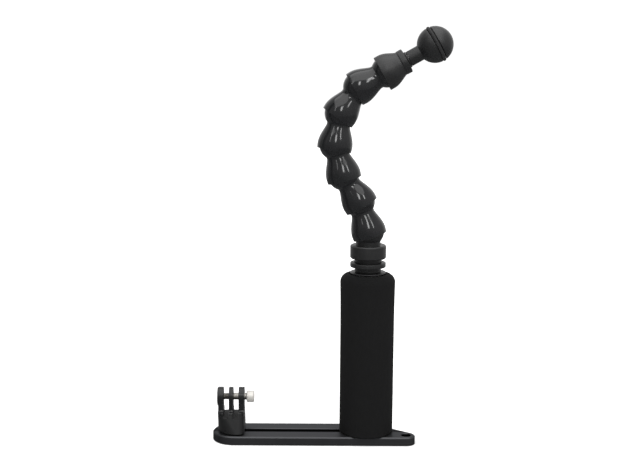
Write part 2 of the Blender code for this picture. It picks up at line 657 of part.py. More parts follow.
def make_hose_connector(parent, location, material):
    """Neck, collar and first ball of the arm, with a hole for the stud that widens into the ball's bore."""
    collar_start = NECK_LENGTH
    collar_end = NECK_LENGTH + COLLAR_LENGTH
    stud_hole = STUD_DIAMETER / 2 + FIT_GAP
    stud_top = STUD_DEPTH_IN_COLLAR + STUD_HOLE_EXTRA
    profile = [(stud_hole, 0), (NECK_DIAMETER / 2, 0), (NECK_DIAMETER / 2, collar_start)]
    profile += chamfered_disc(COLLAR_DIAMETER / 2, collar_start, collar_end, COLLAR_CHAMFER)
    profile.append((UPPER_NECK_DIAMETER / 2, collar_end))
    profile += ball_profile(BASE_BALL_RISE, UPPER_NECK_DIAMETER / 2)
    profile += [(HOSE_BORE_RADIUS, stud_top), (stud_hole, stud_top)]
    bm = turned(profile, HOSE_SIDES, closed=True)
    return link_mesh(bm, "hose_base_connector", material, parent, location)


def make_hose_segment(number, parent, location, rotation, material):
    profile = bell_profile(HOSE_SKIRT_RADIUS, HOSE_RIM_RADIUS, HOSE_WAIST_RADIUS, HOSE_BELL_LENGTH)
    profile += ball_profile(HOSE_PITCH, HOSE_WAIST_RADIUS)
    profile += socket_profile(HOSE_RIM_RADIUS, HOSE_BORE_RADIUS)
    bm = turned(profile, HOSE_SIDES, closed=True)
    return link_mesh(bm, f"hose_segment_{number}", material, parent, location, rotation)


def make_end_adapter(parent, location, rotation, material):
    """Socket that ends in a flat flange, with a pocket for the head of the screw that holds the ball."""
    flange_start = ADAPTER_LENGTH - ADAPTER_FLANGE_LENGTH
    head_floor = ADAPTER_LENGTH - ADAPTER_END_WALL
    screw_hole = BOLT_HOLE_DIAMETER / 2
    head_hole = TIP_SCREW_HOLE_DIAMETER / 2
    flange = chamfered_disc(ADAPTER_FLANGE_RADIUS, flange_start, ADAPTER_LENGTH, ADAPTER_FLANGE_CHAMFER)
    bell_length = ADAPTER_BELL_LENGTH - ADAPTER_FLANGE_STEP
    skirt_radius = ADAPTER_SKIRT_RADIUS
    profile = bell_profile(skirt_radius, skirt_radius, ADAPTER_WAIST_RADIUS, bell_length)
    profile += flange[1:]
    profile += [(screw_hole, ADAPTER_LENGTH), (screw_hole, head_floor), (head_hole, head_floor)]
    profile += socket_profile(skirt_radius, head_hole)
    bm = turned(profile, HOSE_SIDES, closed=True)
    return link_mesh(bm, "hose_end_adapter", material, parent, location, rotation)


# Ball at the arm's tip

def make_tip_screw(parent, material):
    """Screw whose head bears on the adapter's end wall, with its shank in the ball's stem."""
    head_top = ADAPTER_LENGTH - ADAPTER_END_WALL - FIT_GAP
    place = (0, 0, head_top - TIP_SCREW_HEAD_HEIGHT)
    shank = STEM_START - head_top + TIP_SCREW_GRIP
    bm = headed_screw(BOLT_DIAMETER, shank, TIP_SCREW_HEAD_DIAMETER, TIP_SCREW_HEAD_HEIGHT)
    screw = link_mesh(bm, "ball_screw", material, parent, place)
    socket = extruded(polygon(BOLT_SOCKET_ACROSS, HEX_SIDES), -CUT_OVERRUN, TIP_SCREW_SOCKET_DEPTH)
    combine(screw, socket, "ball_screw_socket_cut", "DIFFERENCE")
    return screw


def make_ball_mount(parent, material):
    """Stem and one-inch ball, with a groove for the ring round its middle."""
    radius = TIP_BALL_DIAMETER / 2
    centre = TIP_BALL_CENTRE
    hole = BOLT_HOLE_DIAMETER / 2
    hole_top = STEM_START + TIP_SCREW_GRIP + STEM_HOLE_EXTRA
    groove_floor = ring_centre_radius() - RING_CORD_DIAMETER / 2 - FIT_GAP
    groove_low = RING_GROOVE_OFFSET - RING_GROOVE_WIDTH / 2
    groove_high = RING_GROOVE_OFFSET + RING_GROOVE_WIDTH / 2
    stem_angle = -math.acos(STEM_DIAMETER / 2 / radius)
    low_angle = math.asin(groove_low / radius)
    high_angle = math.asin(groove_high / radius)
    profile = [(0, hole_top), (hole, hole_top), (hole, STEM_START), (STEM_DIAMETER / 2, STEM_START)]
    profile += arc_points((0, centre), radius, stem_angle, low_angle, TIP_BALL_STEPS)
    profile += [(groove_floor, centre + groove_low), (groove_floor, centre + groove_high)]
    profile += arc_points((0, centre), radius, high_angle, QUARTER_TURN, TIP_BALL_STEPS)
    profile[-1] = (0, centre + radius)
    return link_mesh(turned(profile, ROUND_SIDES), "ball_mount", material, parent)


def ring_centre_radius():
    return TIP_BALL_DIAMETER / 2 + RING_STANDS_PROUD - RING_CORD_DIAMETER / 2


def make_ball_ring(parent, material):
    """Rubber ring that lies against the stem side of its groove."""
    cord = RING_CORD_DIAMETER / 2
    height = TIP_BALL_CENTRE + RING_GROOVE_OFFSET - RING_GROOVE_WIDTH / 2 + FIT_GAP + cord
    turn = FULL_TURN * (RING_CORD_STEPS - 1) / RING_CORD_STEPS
    profile = arc_points((ring_centre_radius(), height), cord, 0, turn, RING_CORD_STEPS - 1)
    return link_mesh(turned(profile, ROUND_SIDES, closed=True), "ball_ring", material, parent)


# Assembly

def build_tray(handle_axis, anodised, steel):
    make_tray_plate(handle_axis, anodised)
    washer_place = (0, 0, BOLT_HEAD_TOP + FIT_GAP)
    make_tray_bolt("handle_bolt", CORE_BOLT_GRIP, handle_axis, (0, 0, BOLT_HEAD_RECESS), steel)
    make_tray_washer("handle_bolt_washer", handle_axis, washer_place, steel)


def build_camera_mount(handle_axis, plastic, steel, brass, bright_steel):
    bolt_axis = make_empty("mount_bolt_axis", handle_axis, (-MOUNT_REACH, 0, 0))
    make_tray_bolt("mount_bolt", MOUNT_BOLT_GRIP, bolt_axis, (0, 0, BOLT_HEAD_RECESS), steel)
    make_tray_washer("mount_bolt_washer", bolt_axis, (0, 0, BOLT_HEAD_TOP + FIT_GAP), steel)
    foot = (0, 0, FOOT_HEIGHT)
    make_camera_mount(bolt_axis, foot, plastic)
    make_mount_insert(bolt_axis, foot, brass)
    screw_place = (0, 0, FOOT_HEIGHT + PRONG_SCREW_HEIGHT)
    make_prong_nut(bolt_axis, screw_place, bright_steel)
    make_thumb_screw(bolt_axis, screw_place, bright_steel)


def build_handle(handle_axis, aluminium, foam, plastic):
    foot = (0, 0, FOOT_HEIGHT)
    make_handle_core(handle_axis, foot, aluminium)
    make_foam_grip(handle_axis, foot, foam)
    cap = chamfered_disc(CAP_DIAMETER / 2, 0, CAP_THICKNESS, CAP_CHAMFER)
    stud_hole = STUD_DIAMETER / 2 + FIT_GAP
    make_turned_ring("grip_end_cap", stud_hole, cap, handle_axis, (0, 0, CAP_HEIGHT), plastic)


def build_arm(handle_axis, plastic, gloss_plastic, steel, rubber):
    connector_place = (0, 0, CONNECTOR_HEIGHT)
    make_arm_stud(handle_axis, connector_place, steel)
    ring = chamfered_disc(RING_DIAMETER / 2, 0, RING_THICKNESS, RING_CHAMFER)
    ring_place = (0, 0, CAP_HEIGHT + CAP_THICKNESS + RING_LIFT)
    make_turned_ring("arm_lock_ring", NECK_DIAMETER / 2 + FIT_GAP, ring, handle_axis, ring_place, plastic)
    carrier = make_hose_connector(handle_axis, connector_place, plastic)

    rise = BASE_BALL_RISE
    lean_below = 0
    for number, lean in enumerate(HOSE_LEANS, start=1):
        bend = (0, lean - lean_below, 0)
        carrier = make_hose_segment(number, carrier, (0, 0, rise), bend, gloss_plastic)
        rise = HOSE_PITCH
        lean_below = lean

    bend = (0, ADAPTER_LEAN - lean_below, 0)
    adapter = make_end_adapter(carrier, (0, 0, rise), bend, plastic)
    make_tip_screw(adapter, steel)
    washer_place = (0, 0, ADAPTER_LENGTH + FIT_GAP)
    washer(
        "ball_stem_washer",
        STEM_WASHER_DIAMETER,
        BOLT_HOLE_DIAMETER,
        STEM_WASHER_THICKNESS,
        SCREW_SIDES,
        plastic,
        adapter,
        washer_place,
    )
    make_ball_mount(adapter, plastic)
    make_ball_ring(adapter, rubber)


def main():
    clear_scene()
    anodised = make_material("black_anodised", (0.045, 0.046, 0.050), 0.38, 1.0)
    aluminium = make_material("turned_aluminium", (0.60, 0.61, 0.62), 0.35, 1.0)
    plastic = make_material("black_plastic", (0.022, 0.022, 0.023), 0.45, 0.0)
    gloss_plastic = make_material("black_gloss_plastic", (0.016, 0.016, 0.017), 0.16, 0.0)
    foam = make_material("black_foam", (0.020, 0.020, 0.021), 0.95, 0.0)
    steel = make_material("stainless_steel", (0.52, 0.52, 0.51), 0.30, 1.0)
    bright_steel = make_material("bright_steel", (0.74, 0.74, 0.73), 0.22, 1.0)
    brass = make_material("brass", (0.70, 0.52, 0.22), 0.32, 1.0)
    rubber = make_material("black_rubber", (0.018, 0.018, 0.018), 0.70, 0.0)

    handle_axis = make_empty("handle_axis", location=(HANDLE_X, 0, 0))
    build_tray(handle_axis, anodised, steel)
    build_camera_mount(handle_axis, plastic, steel, brass, bright_steel)
    build_handle(handle_axis, aluminium, foam, plastic)
    build_arm(handle_axis, plastic, gloss_plastic, steel, rubber)


main()
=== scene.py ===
"""Underwater camera tray: the finished surface of every piece, modelled round its construction frame.

Each operator makes one piece, or one group of like pieces, in metres and in its real place: +Z is up,
the plate lies flat, and the camera mount is at its left. The stage operator adds the floor, the lights
and the camera. Turned pieces are drawn upright about their own axis and then laid where they belong.
"""

import json
import math

import bmesh
import bpy
from bpy.props import FloatProperty, FloatVectorProperty, PointerProperty
from mathutils import Matrix, Vector

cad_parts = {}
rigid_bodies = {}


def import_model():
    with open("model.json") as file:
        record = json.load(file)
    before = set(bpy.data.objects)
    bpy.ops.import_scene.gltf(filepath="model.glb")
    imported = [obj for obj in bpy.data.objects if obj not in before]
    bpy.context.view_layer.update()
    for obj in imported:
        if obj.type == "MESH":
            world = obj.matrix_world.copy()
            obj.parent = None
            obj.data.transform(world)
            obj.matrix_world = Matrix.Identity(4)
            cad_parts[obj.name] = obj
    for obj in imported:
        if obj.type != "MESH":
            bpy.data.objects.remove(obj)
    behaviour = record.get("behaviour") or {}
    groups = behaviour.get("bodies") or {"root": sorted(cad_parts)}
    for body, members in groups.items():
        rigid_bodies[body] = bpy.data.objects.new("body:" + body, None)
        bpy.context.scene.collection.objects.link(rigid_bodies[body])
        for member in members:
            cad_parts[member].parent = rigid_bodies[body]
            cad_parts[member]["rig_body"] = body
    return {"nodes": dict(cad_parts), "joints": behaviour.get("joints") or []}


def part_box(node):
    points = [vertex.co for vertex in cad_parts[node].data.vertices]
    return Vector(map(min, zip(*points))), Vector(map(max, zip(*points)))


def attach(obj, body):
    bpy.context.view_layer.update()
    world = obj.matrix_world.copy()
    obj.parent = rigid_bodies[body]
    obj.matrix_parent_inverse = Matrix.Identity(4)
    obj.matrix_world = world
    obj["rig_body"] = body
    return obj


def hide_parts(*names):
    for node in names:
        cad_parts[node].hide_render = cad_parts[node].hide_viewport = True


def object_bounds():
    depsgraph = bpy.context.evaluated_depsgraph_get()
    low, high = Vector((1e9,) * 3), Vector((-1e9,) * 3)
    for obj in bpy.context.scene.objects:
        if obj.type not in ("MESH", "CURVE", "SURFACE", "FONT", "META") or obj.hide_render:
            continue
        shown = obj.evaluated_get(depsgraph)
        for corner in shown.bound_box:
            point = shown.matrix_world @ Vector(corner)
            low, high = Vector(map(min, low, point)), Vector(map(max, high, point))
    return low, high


bl_info = {
    "name": "Underwater camera tray",
    "version": (1, 0, 0),
    "blender": (4, 5, 0),
    "location": "View3D > Sidebar > Camera tray",
    "description": "Models and finishes an underwater camera tray with a foam grip and a ball-jointed arm",
    "category": "Add Mesh",
}

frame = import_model()
CAD_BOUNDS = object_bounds()

# How finely round shapes are drawn
FULL_TURN = 2 * math.pi
QUARTER_TURN = math.pi / 2
TURN_STEPS = 96
SMALL_TURN_STEPS = 48
ARC_STEPS = 24
EASING_STEPS = 4
EASING_TURN = math.radians(16)
EASING_REACH_SHARE = 0.45
EDGE_SEGMENTS = 2
SHARP_ANGLE = math.radians(35)
FLAT_ANGLE = math.radians(0.5)
MERGE_DISTANCE = 0.0000005
SAME_PLACE = 0.00002
CUT_OVERRUN = 0.002

HOSE_LINKS = 6
HEX_SIDES = 6


# Places that the frame gives

JOINTS = {joint["name"]: joint for joint in frame["joints"]}


def pivot(joint):
    """A point on a joint's axis."""
    return Vector(JOINTS[joint]["pos_m"])


MOUNT_AXIS = pivot("mount_turn")
HANDLE_AXIS = pivot("arm_swivel")
SCREW_AXIS = pivot("thumb_screw_turn")
SOCKETS = [pivot(f"hose_joint_{number}") for number in range(1, HOSE_LINKS + 2)]


def ball_centre():
    """The middle of the ball at the arm's tip, which is the highest and rightmost thing on the arm."""
    low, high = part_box("ball_mount")
    radius = (high.y - low.y) / 2
    return Vector((high.x - radius, 0, high.z - radius))


def ear_centre(sizes):
    """The middle of the strap ear, in the plate's front right corner."""
    low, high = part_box("tray_plate")
    return (high.x - sizes.ear_radius, low.y + sizes.ear_radius)


def on_handle(height):
    """A place on the handle's axis."""
    return (HANDLE_AXIS.x, HANDLE_AXIS.y, height)


def lean(start, end):
    """How far the line between two places leans from upright, towards +X."""
    run = end - start
    return math.atan2(run.x, run.z)


# Sizes that a user would change

def setting(label, description, default, **more):
    return FloatProperty(name=label, description=description, default=default, **more)


def length(label, description, default):
    return setting(label, description, default, min=0, unit="LENGTH", precision=5)


def colour(label, description, default):
    return FloatVectorProperty(
        name=label, description=description, default=default, min=0, max=1, size=3, subtype="COLOR"
    )


class PlateSizes(bpy.types.PropertyGroup):
    """Sizes of the slotted plate"""

    ear_radius: length("Ear radius", "Outer radius of the strap ear", 0.0065)
    strap_hole: length("Strap hole", "Diameter of the hole for a lanyard", 0.0068)
    corner_radius: length("Corner radius", "Radius where the back edge meets the cut-back corner", 0.0060)
    cutback: setting("Cutback", "Slant of the cut-back corner", math.radians(36), subtype="ANGLE")
    top_chamfer: length("Top chamfer", "Chamfer round the upper face", 0.0009)
    foot_chamfer: length("Foot chamfer", "Chamfer round the lower face", 0.0004)
    slot_width: length("Slot width", "Width of the slot, which clears a quarter-inch bolt", 0.00695)
    slot_margin: length("Slot margin", "From the handle's axis to the slot's last end arc", 0.0185)
    lead_in: length("Lead-in", "Small chamfer at the upper rims of the slot and the strap hole", 0.0006)
    pocket_width: length("Pocket width", "Width of the pocket that the bolt heads slide in", 0.0116)
    pocket_depth: length("Pocket depth", "Depth of the pocket from the lower face", 0.0041)
    edge: length("Edge easing", "Width of the brushed-off corners", 0.00010)


class RiserSizes(bpy.types.PropertyGroup):
    """Sizes of the camera mount"""

    rise: length("Rise", "Height of the riser's upper face above its foot", 0.0152)
    foot_depth: length("Foot depth", "Depth of the riser at its foot", 0.0286)
    top_depth: length("Top depth", "Depth of the riser at its upper face", 0.0206)
    foot_left_radius: length("Foot left radius", "Corner radius at the foot's left side", 0.0138)
    top_left_radius: length("Top left radius", "Corner radius at the left side of the upper face", 0.0050)
    right_radius: length("Right radius", "Corner radius at the right side", 0.0050)
    foot_chamfer: length("Foot chamfer", "Chamfer under the foot", 0.0008)
    rim_chamfer: length("Rim chamfer", "Chamfer round the upper face", 0.0006)
    rim_margin: length("Rim margin", "From the outer prongs to the riser's side", 0.0003)
    head_radius: length("Head radius", "Radius of the prongs' round heads", 0.0069)
    middle_prong: length("Middle prong", "Thickness of the middle prong", 0.0029)
    prong_gap: length("Prong gap", "Gap between two prongs", 0.0041)
    nut_prong: length("Nut prong", "Thickness of the left prong, which holds the nut", 0.0036)
    knob_prong: length("Knob prong", "Thickness of the right prong", 0.0040)
    leg_set_back: length("Leg set-back", "From the round heads back to the prongs' legs", 0.00065)
    boss_height: length("Boss height", "How far the boss round the nut stands out", 0.0007)
    boss_rim: length("Boss rim", "From the round head in to the boss's edge", 0.0004)
    gap_floor: length("Gap floor", "Height of the gaps' floors above the foot", 0.0114)
    flare: length("Flare", "Radius where the prongs spread into the riser", 0.0016)
    bore: length("Bore", "Diameter of the hole for the thumb screw", 0.0054)
    nut_room: length("Nut room", "Width of the six-sided recess for the nut", 0.0086)
    nut_recess: length("Nut recess", "Depth of the recess for the nut", 0.0029)
    insert_room: length("Insert room", "Diameter of the hole for the brass insert", 0.0101)
    insert_depth: length("Insert depth", "Depth of the hole for the brass insert", 0.0088)
    edge: length("Edge easing", "Radius of the moulded corners", 0.00028)


class FastenerSizes(bpy.types.PropertyGroup):
    """Sizes of the thumb screw, the bolts, the nut and the washers"""

    screw: length("Screw", "Diameter of the thumb screw's shank", 0.0048)
    thread_pitch: length("Thread pitch", "Pitch of the thumb screw's thread", 0.0008)
    thread_depth: length("Thread depth", "Depth of the thumb screw's thread", 0.00030)
    thread_length: length("Thread length", "How much of the thumb screw's shank is threaded", 0.0112)
    nut_play: length("Nut play", "Room between the shank and the nut", 0.0003)
    knob: length("Knob", "Diameter of the knob", 0.0084)
    knob_length: length("Knob length", "Length of the knob", 0.0055)
    knob_round: length("Knob rounding", "How far the knob's ends are rounded off", 0.0009)
    knob_dish: length("Knob dish", "Diameter of the shallow dish in the knob's end", 0.0054)
    knurl_depth: length("Knurl depth", "Depth of the knob's fine ridges", 0.00006)
    bolt: length("Bolt", "Diameter of the quarter-inch bolts", 0.00635)
    bolt_head: length("Bolt head", "Diameter of the bolts' heads", 0.0102)
    bolt_head_height: length("Bolt head height", "Height of the bolts' heads", 0.0024)
    bolt_key: length("Bolt key", "Width of the six-sided key socket", 0.0040)
    bolt_key_depth: length("Bolt key depth", "Depth of the key socket", 0.0014)
    edge: length("Edge easing", "Radius of the fasteners' turned corners", 0.00018)


class GripSizes(bpy.types.PropertyGroup):
    """Sizes of the foam sleeve"""

    top: length("Top", "Diameter at the sleeve's top", 0.0394)
    foot: length("Foot", "Diameter at the sleeve's foot", 0.0386)
    shoulder: length("Shoulder", "Radius of the sleeve's upper edge", 0.0060)
    foot_radius: length("Foot radius", "Radius of the sleeve's lower edge", 0.0008)
    seat: length("Seat", "How far the sleeve's foot settles onto the plate", 0.00025)
    flare_power: setting("Flare power", "How late the sleeve widens upwards", 8.0)
    bore: length("Bore", "Diameter of the hole for the handle's core", 0.01965)
    swell: length("Swell", "How far the foam's skin strays from a true cylinder", 0.00010)
    skin: length("Skin", "Depth of the foam's open cells", 0.00005)


class NeckSizes(bpy.types.PropertyGroup):
    """Sizes of the rings, the neck and the collar under the arm"""

    stud_hole: length("Stud hole", "Diameter of the hole for the stud", 0.0101)
    ring_hole: length("Ring hole", "Diameter of the lock ring's hole", 0.0193)
    neck: length("Neck", "Diameter of the neck that the lock ring turns on", 0.0187)
    neck_length: length("Neck length", "From the cap to the collar", 0.00955)
    collar: length("Collar", "Diameter of the collar", 0.0256)
    collar_length: length("Collar length", "Height of the collar", 0.0097)
    collar_chamfer: length("Collar chamfer", "Chamfer at the collar's edges", 0.0008)
    upper_neck: length("Upper neck", "From the collar to the middle of the first ball", 0.00985)
    upper_waist: length("Upper waist", "Radius of the neck between the collar and the first ball", 0.0087)
    stud_depth: length("Stud depth", "How deep the stud's hole goes", 0.0150)
    edge: length("Edge easing", "Radius of the small turned corners", 0.00022)


class HoseSizes(bpy.types.PropertyGroup):
    """Sizes of the hose links and of the socket at the hose's end"""

    ball: length("Ball", "Radius of a link's ball", 0.0112)
    joint_gap: length("Joint gap", "Play between a ball and its socket", 0.00035)
    bore: length("Bore", "Radius of the link's bore", 0.0060)
    mouth: length("Mouth", "Radius of the ball's open end", 0.0075)
    waist: length("Waist", "Radius of the waist between bell and ball", 0.0083)
    skirt: length("Skirt", "Largest radius of the bell", 0.0124)
    rim: length("Rim", "Radius of the bell's rim", 0.0122)
    lip: length("Lip", "Thickness of the rim's edge", 0.0002)
    rim_drop: length("Rim drop", "From the socket's middle down to the rim", 0.0038)
    throat_drop: length("Throat drop", "From the socket's middle down to the narrow throat", 0.0030)
    skirt_drop: length("Skirt drop", "From the socket's middle down to the widest part", 0.0007)
    bell: length("Bell", "Height of the bell from its widest part to its waist", 0.0140)
    bell_draw: setting("Bell draw", "How straight the bell draws in: 1 is a cosine wave", 1.22, min=1)
    end_skirt: length("End skirt", "Largest radius of the end socket", 0.0126)
    end_waist: length("End waist", "Radius of the end socket where it meets the flange", 0.0085)
    end_bell: length("End bell", "Height of the end socket's bell", 0.0120)
    flange: length("Flange", "Radius of the end flange", 0.0088)
    flange_length: length("Flange length", "Thickness of the end flange", 0.0043)
    end_wall: length("End wall", "Wall that the ball's screw bears on", 0.0018)
    edge: length("Edge easing", "Radius of the moulded corners", 0.00020)


class TipSizes(bpy.types.PropertyGroup):
    """Sizes of the ball and its stem"""

    stem: length("Stem", "Diameter of the stem", 0.0108)
    stem_hole: length("Stem hole", "Diameter of the screw hole in the stem", 0.00695)
    hole_depth: length("Hole depth", "Depth of the screw hole in the stem", 0.0180)
    groove_width: length("Groove width", "Width of the groove for the ring", 0.0034)
    groove_offset: length("Groove offset", "From the ball's middle to the groove's middle", 0.0009)
    ring_cord: length("Ring cord", "Thickness of the rubber ring", 0.0026)
    ring_proud: length("Ring proud", "How far the ring stands out of the ball", 0.0005)
    ring_play: length("Ring play", "Room between the ring and the groove", 0.0003)
    edge: length("Edge easing", "Radius of the turned corners", 0.00025)


class FinishColours(bpy.types.PropertyGroup):
    """Colours of the finishes"""

    anodised: colour("Anodised", "Satin black anodised aluminium", (0.053, 0.054, 0.057))
    plastic: colour("Matt plastic", "Matt black moulded plastic", (0.0080, 0.0082, 0.0086))
    gloss: colour("Gloss plastic", "Glossy black hose plastic", (0.0085, 0.0088, 0.0094))
    foam: colour("Foam", "Black closed-cell foam", (0.0062, 0.0062, 0.0064))
    bright_steel: colour("Bright steel", "Plated knob of the thumb screw", (0.56, 0.545, 0.515))
    # The shank's darker colour is painted shade, where the shank lies between the prongs
    steel_shank: colour("Steel shank", "Shank of the thumb screw", (0.32, 0.31, 0.29))
    steel: colour("Stainless steel", "Bolts and washers", (0.56, 0.56, 0.55))
    brass: colour("Brass", "Insert in the camera mount", (0.70, 0.50, 0.20))
    rubber: colour("Rubber", "Ring on the ball", (0.014, 0.014, 0.0145))
    aluminium: colour("Aluminium", "Turned core of the handle", (0.62, 0.63, 0.64))
    floor: colour("Floor", "Plain pale floor", (0.86, 0.86, 0.86))


class StageSettings(bpy.types.PropertyGroup):
    """The floor, the lights and the camera"""

    floor_half: length("Floor half width", "Half the width of the floor", 3.0)
    floor_drop: length("Floor drop", "Room between the plate and the floor", 0.0002)
    # The floor's glow is dimmer round the object than away from it, a painted shade, and none under the
    # plate, a painted shadow
    near_glow: setting("Near glow", "The floor's own light round the object", 0.45)
    covered_half_length: length("Covered half length", "Half the length that the plate covers", 0.068)
    far_glow: setting("Far glow", "The floor's own light away from it", 1.0)
    backdrop: setting("Backdrop", "Brightness of the room that is seen", 1.05)
    room_low: setting("Room low", "Light of the room's dimmest walls", 0.17)
    room_high: setting("Room high", "What the upper walls add", 0.30)
    room_right: setting("Room right", "What the right wall adds", 0.24)
    room_back: setting("Room back", "What the back wall adds", 0.60)
    room_gap: setting("Room gap", "Depth of the dark gap in the left wall", 0.85)
    camera_place: FloatVectorProperty(
        name="Camera place",
        description="Where the camera stands",
        default=(-0.0143, -0.8510, 0.2975),
        size=3,
        subtype="TRANSLATION",
    )
    camera_pitch: setting("Camera pitch", "Camera's tilt below level", math.radians(9.69), subtype="ANGLE")
    camera_roll: setting("Camera roll", "Camera's turn about its view", math.radians(0.31), subtype="ANGLE")
    lens: setting("Lens", "Focal length in millimetres", 70.84)


SIZE_GROUPS = {
    "camera_tray_plate": PlateSizes,
    "camera_tray_riser": RiserSizes,
    "camera_tray_fasteners": FastenerSizes,
    "camera_tray_grip": GripSizes,
    "camera_tray_neck": NeckSizes,
    "camera_tray_hose": HoseSizes,
    "camera_tray_tip": TipSizes,
    "camera_tray_colours": FinishColours,
    "camera_tray_stage": StageSettings,
}


# Modelling by hand

def deselect():
    bpy.ops.object.select_all(action="DESELECT")


def select_only(piece):
    deselect()
    piece.select_set(True)
    bpy.context.view_layer.objects.active = piece


def run_line(places):
    """Merge the selected plane to a point and extrude it on and on, which leaves a line through places."""
    bpy.ops.mesh.merge(type="CENTER")
    bpy.ops.transform.translate(value=places[0])
    for start, end in zip(places, places[1:]):
        step = Vector(end) - Vector(start)
        bpy.ops.mesh.extrude_region_move(TRANSFORM_OT_translate={"value": step})


def draw_line(name, places):
    """Start a piece as a line through places, and stay in edit mode."""
    deselect()
    bpy.ops.mesh.primitive_plane_add(size=2 * CUT_OVERRUN, enter_editmode=True, location=(0, 0, 0))
    piece = bpy.context.object
    piece.name = name
    piece.data.name = name
    run_line(places)
    return piece


def close_up(piece):
    """Merge doubled corners, point the faces outwards and leave edit mode with round sides smooth."""
    bpy.ops.mesh.select_all(action="SELECT")
    bpy.ops.mesh.remove_doubles(threshold=MERGE_DISTANCE)
    bpy.ops.mesh.normals_make_consistent(inside=False)
    bpy.ops.object.mode_set(mode="OBJECT")
    bpy.ops.object.shade_smooth_by_angle(angle=SHARP_ANGLE)
    return piece


def turn(name, profile, edge=0, closed=False):
    """Turn (radius, height) points about the upright axis, as on a lathe, after easing their corners."""
    line = eased(profile, edge, closed) if edge else profile
    if closed:
        line = line + line[:1]
    piece = draw_line(name, [(radius, 0, height) for radius, height in line])
    bpy.ops.mesh.select_all(action="SELECT")
    bpy.ops.mesh.spin(steps=TURN_STEPS, angle=FULL_TURN, center=(0, 0, 0), axis=(0, 0, 1))
    return close_up(piece)


def flat_ring(name, hole, outer, thickness, edge):
    """A flat ring from the diameters of its hole and its rim, with its middle at the origin."""
    half = thickness / 2
    profile = [(hole / 2, -half), (outer / 2, -half), (outer / 2, half), (hole / 2, half)]
    return turn(name, profile, edge, closed=True)


def extrude_outline(name, places, step):
    """Fill the closed outline through places and extrude it by one step."""
    piece = draw_line(name, places + places[:1])
    bpy.ops.mesh.select_all(action="SELECT")
    bpy.ops.mesh.remove_doubles(threshold=MERGE_DISTANCE)
    bpy.ops.mesh.edge_face_add()
    bpy.ops.mesh.extrude_region_move(TRANSFORM_OT_translate={"value": step})
    return close_up(piece)


def prism(name, outline, low, high):
    """A prism over an outline of (x, y) points, from the low height to the high one."""
    return extrude_outline(name, [(x, y, low) for x, y in outline], (0, 0, high - low))


def hull(name, outlines):
    """A skin stretched tight round several outlines, each one a line of places."""
    piece = draw_line(name, outlines[0])
    for outline in outlines[1:]:
        bpy.ops.mesh.primitive_plane_add(size=2 * CUT_OVERRUN, location=(0, 0, 0))
        run_line(outline)
    bpy.ops.mesh.select_all(action="SELECT")
    bpy.ops.mesh.convex_hull()
    bpy.ops.mesh.select_all(action="SELECT")
    bpy.ops.mesh.dissolve_limited(angle_limit=FLAT_ANGLE)
    return close_up(piece)


def bevel_where(piece, test, width):
    """Bevel the edges whose two ends both pass a test of their place."""
    select_only(piece)
    bpy.ops.object.mode_set(mode="EDIT")
    bpy.ops.mesh.select_mode(type="EDGE")
    bpy.ops.mesh.select_all(action="DESELECT")
    bm = bmesh.from_edit_mesh(piece.data)
    for edge in bm.edges:
        edge.select = all(test(corner.co) for corner in edge.verts)
    bmesh.update_edit_mesh(piece.data)
    bpy.ops.mesh.bevel(offset=width, offset_type="OFFSET", segments=1, affect="EDGES")
    bpy.ops.mesh.select_mode(type="VERT")
    bpy.ops.object.mode_set(mode="OBJECT")


def modify(piece, kind, **settings):
    """Add a modifier with its settings to a piece and apply it."""
    select_only(piece)
    bpy.ops.object.modifier_add(type=kind)
    modifier = piece.modifiers[-1]
    for name, value in settings.items():
        setattr(modifier, name, value)
    bpy.ops.object.modifier_apply(modifier=modifier.name)


def combine(piece, other, operation="DIFFERENCE"):
    """Cut another body out of a piece, or join it on, and remove that body."""
    modify(piece, "BOOLEAN", operation=operation, solver="EXACT", object=other)
    bpy.data.objects.remove(other, do_unlink=True)


def ease_edges(piece, width):
    """Round the sharp edges that are left, and let flat faces keep their even shade."""
    modify(
        piece, "BEVEL", width=width, segments=EDGE_SEGMENTS, limit_method="ANGLE", angle_limit=SHARP_ANGLE
    )
    bpy.ops.object.shade_smooth()
    modify(piece, "WEIGHTED_NORMAL")


def lay(piece, place, angle=0):
    """Keep each point's place on the piece's own axis, then lean the piece and move it where it belongs."""
    own_place = piece.data.attributes.new("own_place", "FLOAT_VECTOR", "POINT")
    own_place.data.foreach_set("vector", [part for corner in piece.data.vertices for part in corner.co])
    piece.location = place
    piece.rotation_euler = (0, angle, 0)
    select_only(piece)
    bpy.ops.object.transform_apply(location=True, rotation=True, scale=True)
    return piece


def dress(mesh, finish):
    """Give a mesh one finish in the place of all that it has."""
    mesh.materials.clear()
    mesh.materials.append(finish_once(finish))


def fit(piece, node, finish):
    """Dress a piece, and tie it to the frame in the place of its construction node."""
    dress(piece.data, finish)
    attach(piece, frame["nodes"][node]["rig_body"])
    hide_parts(node)


# Outlines

def arc(centre, radius, start, end, steps=ARC_STEPS):
    """Points on an arc in a plane, with both ends."""
    points = []
    for step in range(steps + 1):
        angle = start + (end - start) * step / steps
        points.append((centre[0] + radius * math.cos(angle), centre[1] + radius * math.sin(angle)))
    return points


def circle(centre, diameter, steps=2 * ARC_STEPS):
    """Points on a whole circle in a plane."""
    return arc(centre, diameter / 2, 0, FULL_TURN, steps)[:-1]


def stadium(left, right, width):
    """Outline of a slot along X whose end arcs are centred at left and right."""
    left_end = arc((left, 0), width / 2, QUARTER_TURN, 3 * QUARTER_TURN)
    right_end = arc((right, 0), width / 2, -QUARTER_TURN, QUARTER_TURN)
    return left_end + right_end


def polygon(across_flats, sides):
    """Outline of a regular polygon of a given width across its flats."""
    corner = across_flats / 2 / math.cos(math.pi / sides)
    return arc((0, 0), corner, 0, FULL_TURN * (sides - 1) / sides, sides - 1)


def disc(radius, low, high, chamfer):
    """Outer corners of a turned disc, from its lower face to its upper one."""
    face = radius - chamfer
    return [(face, low), (radius, low + chamfer), (radius, high - chamfer), (face, high)]


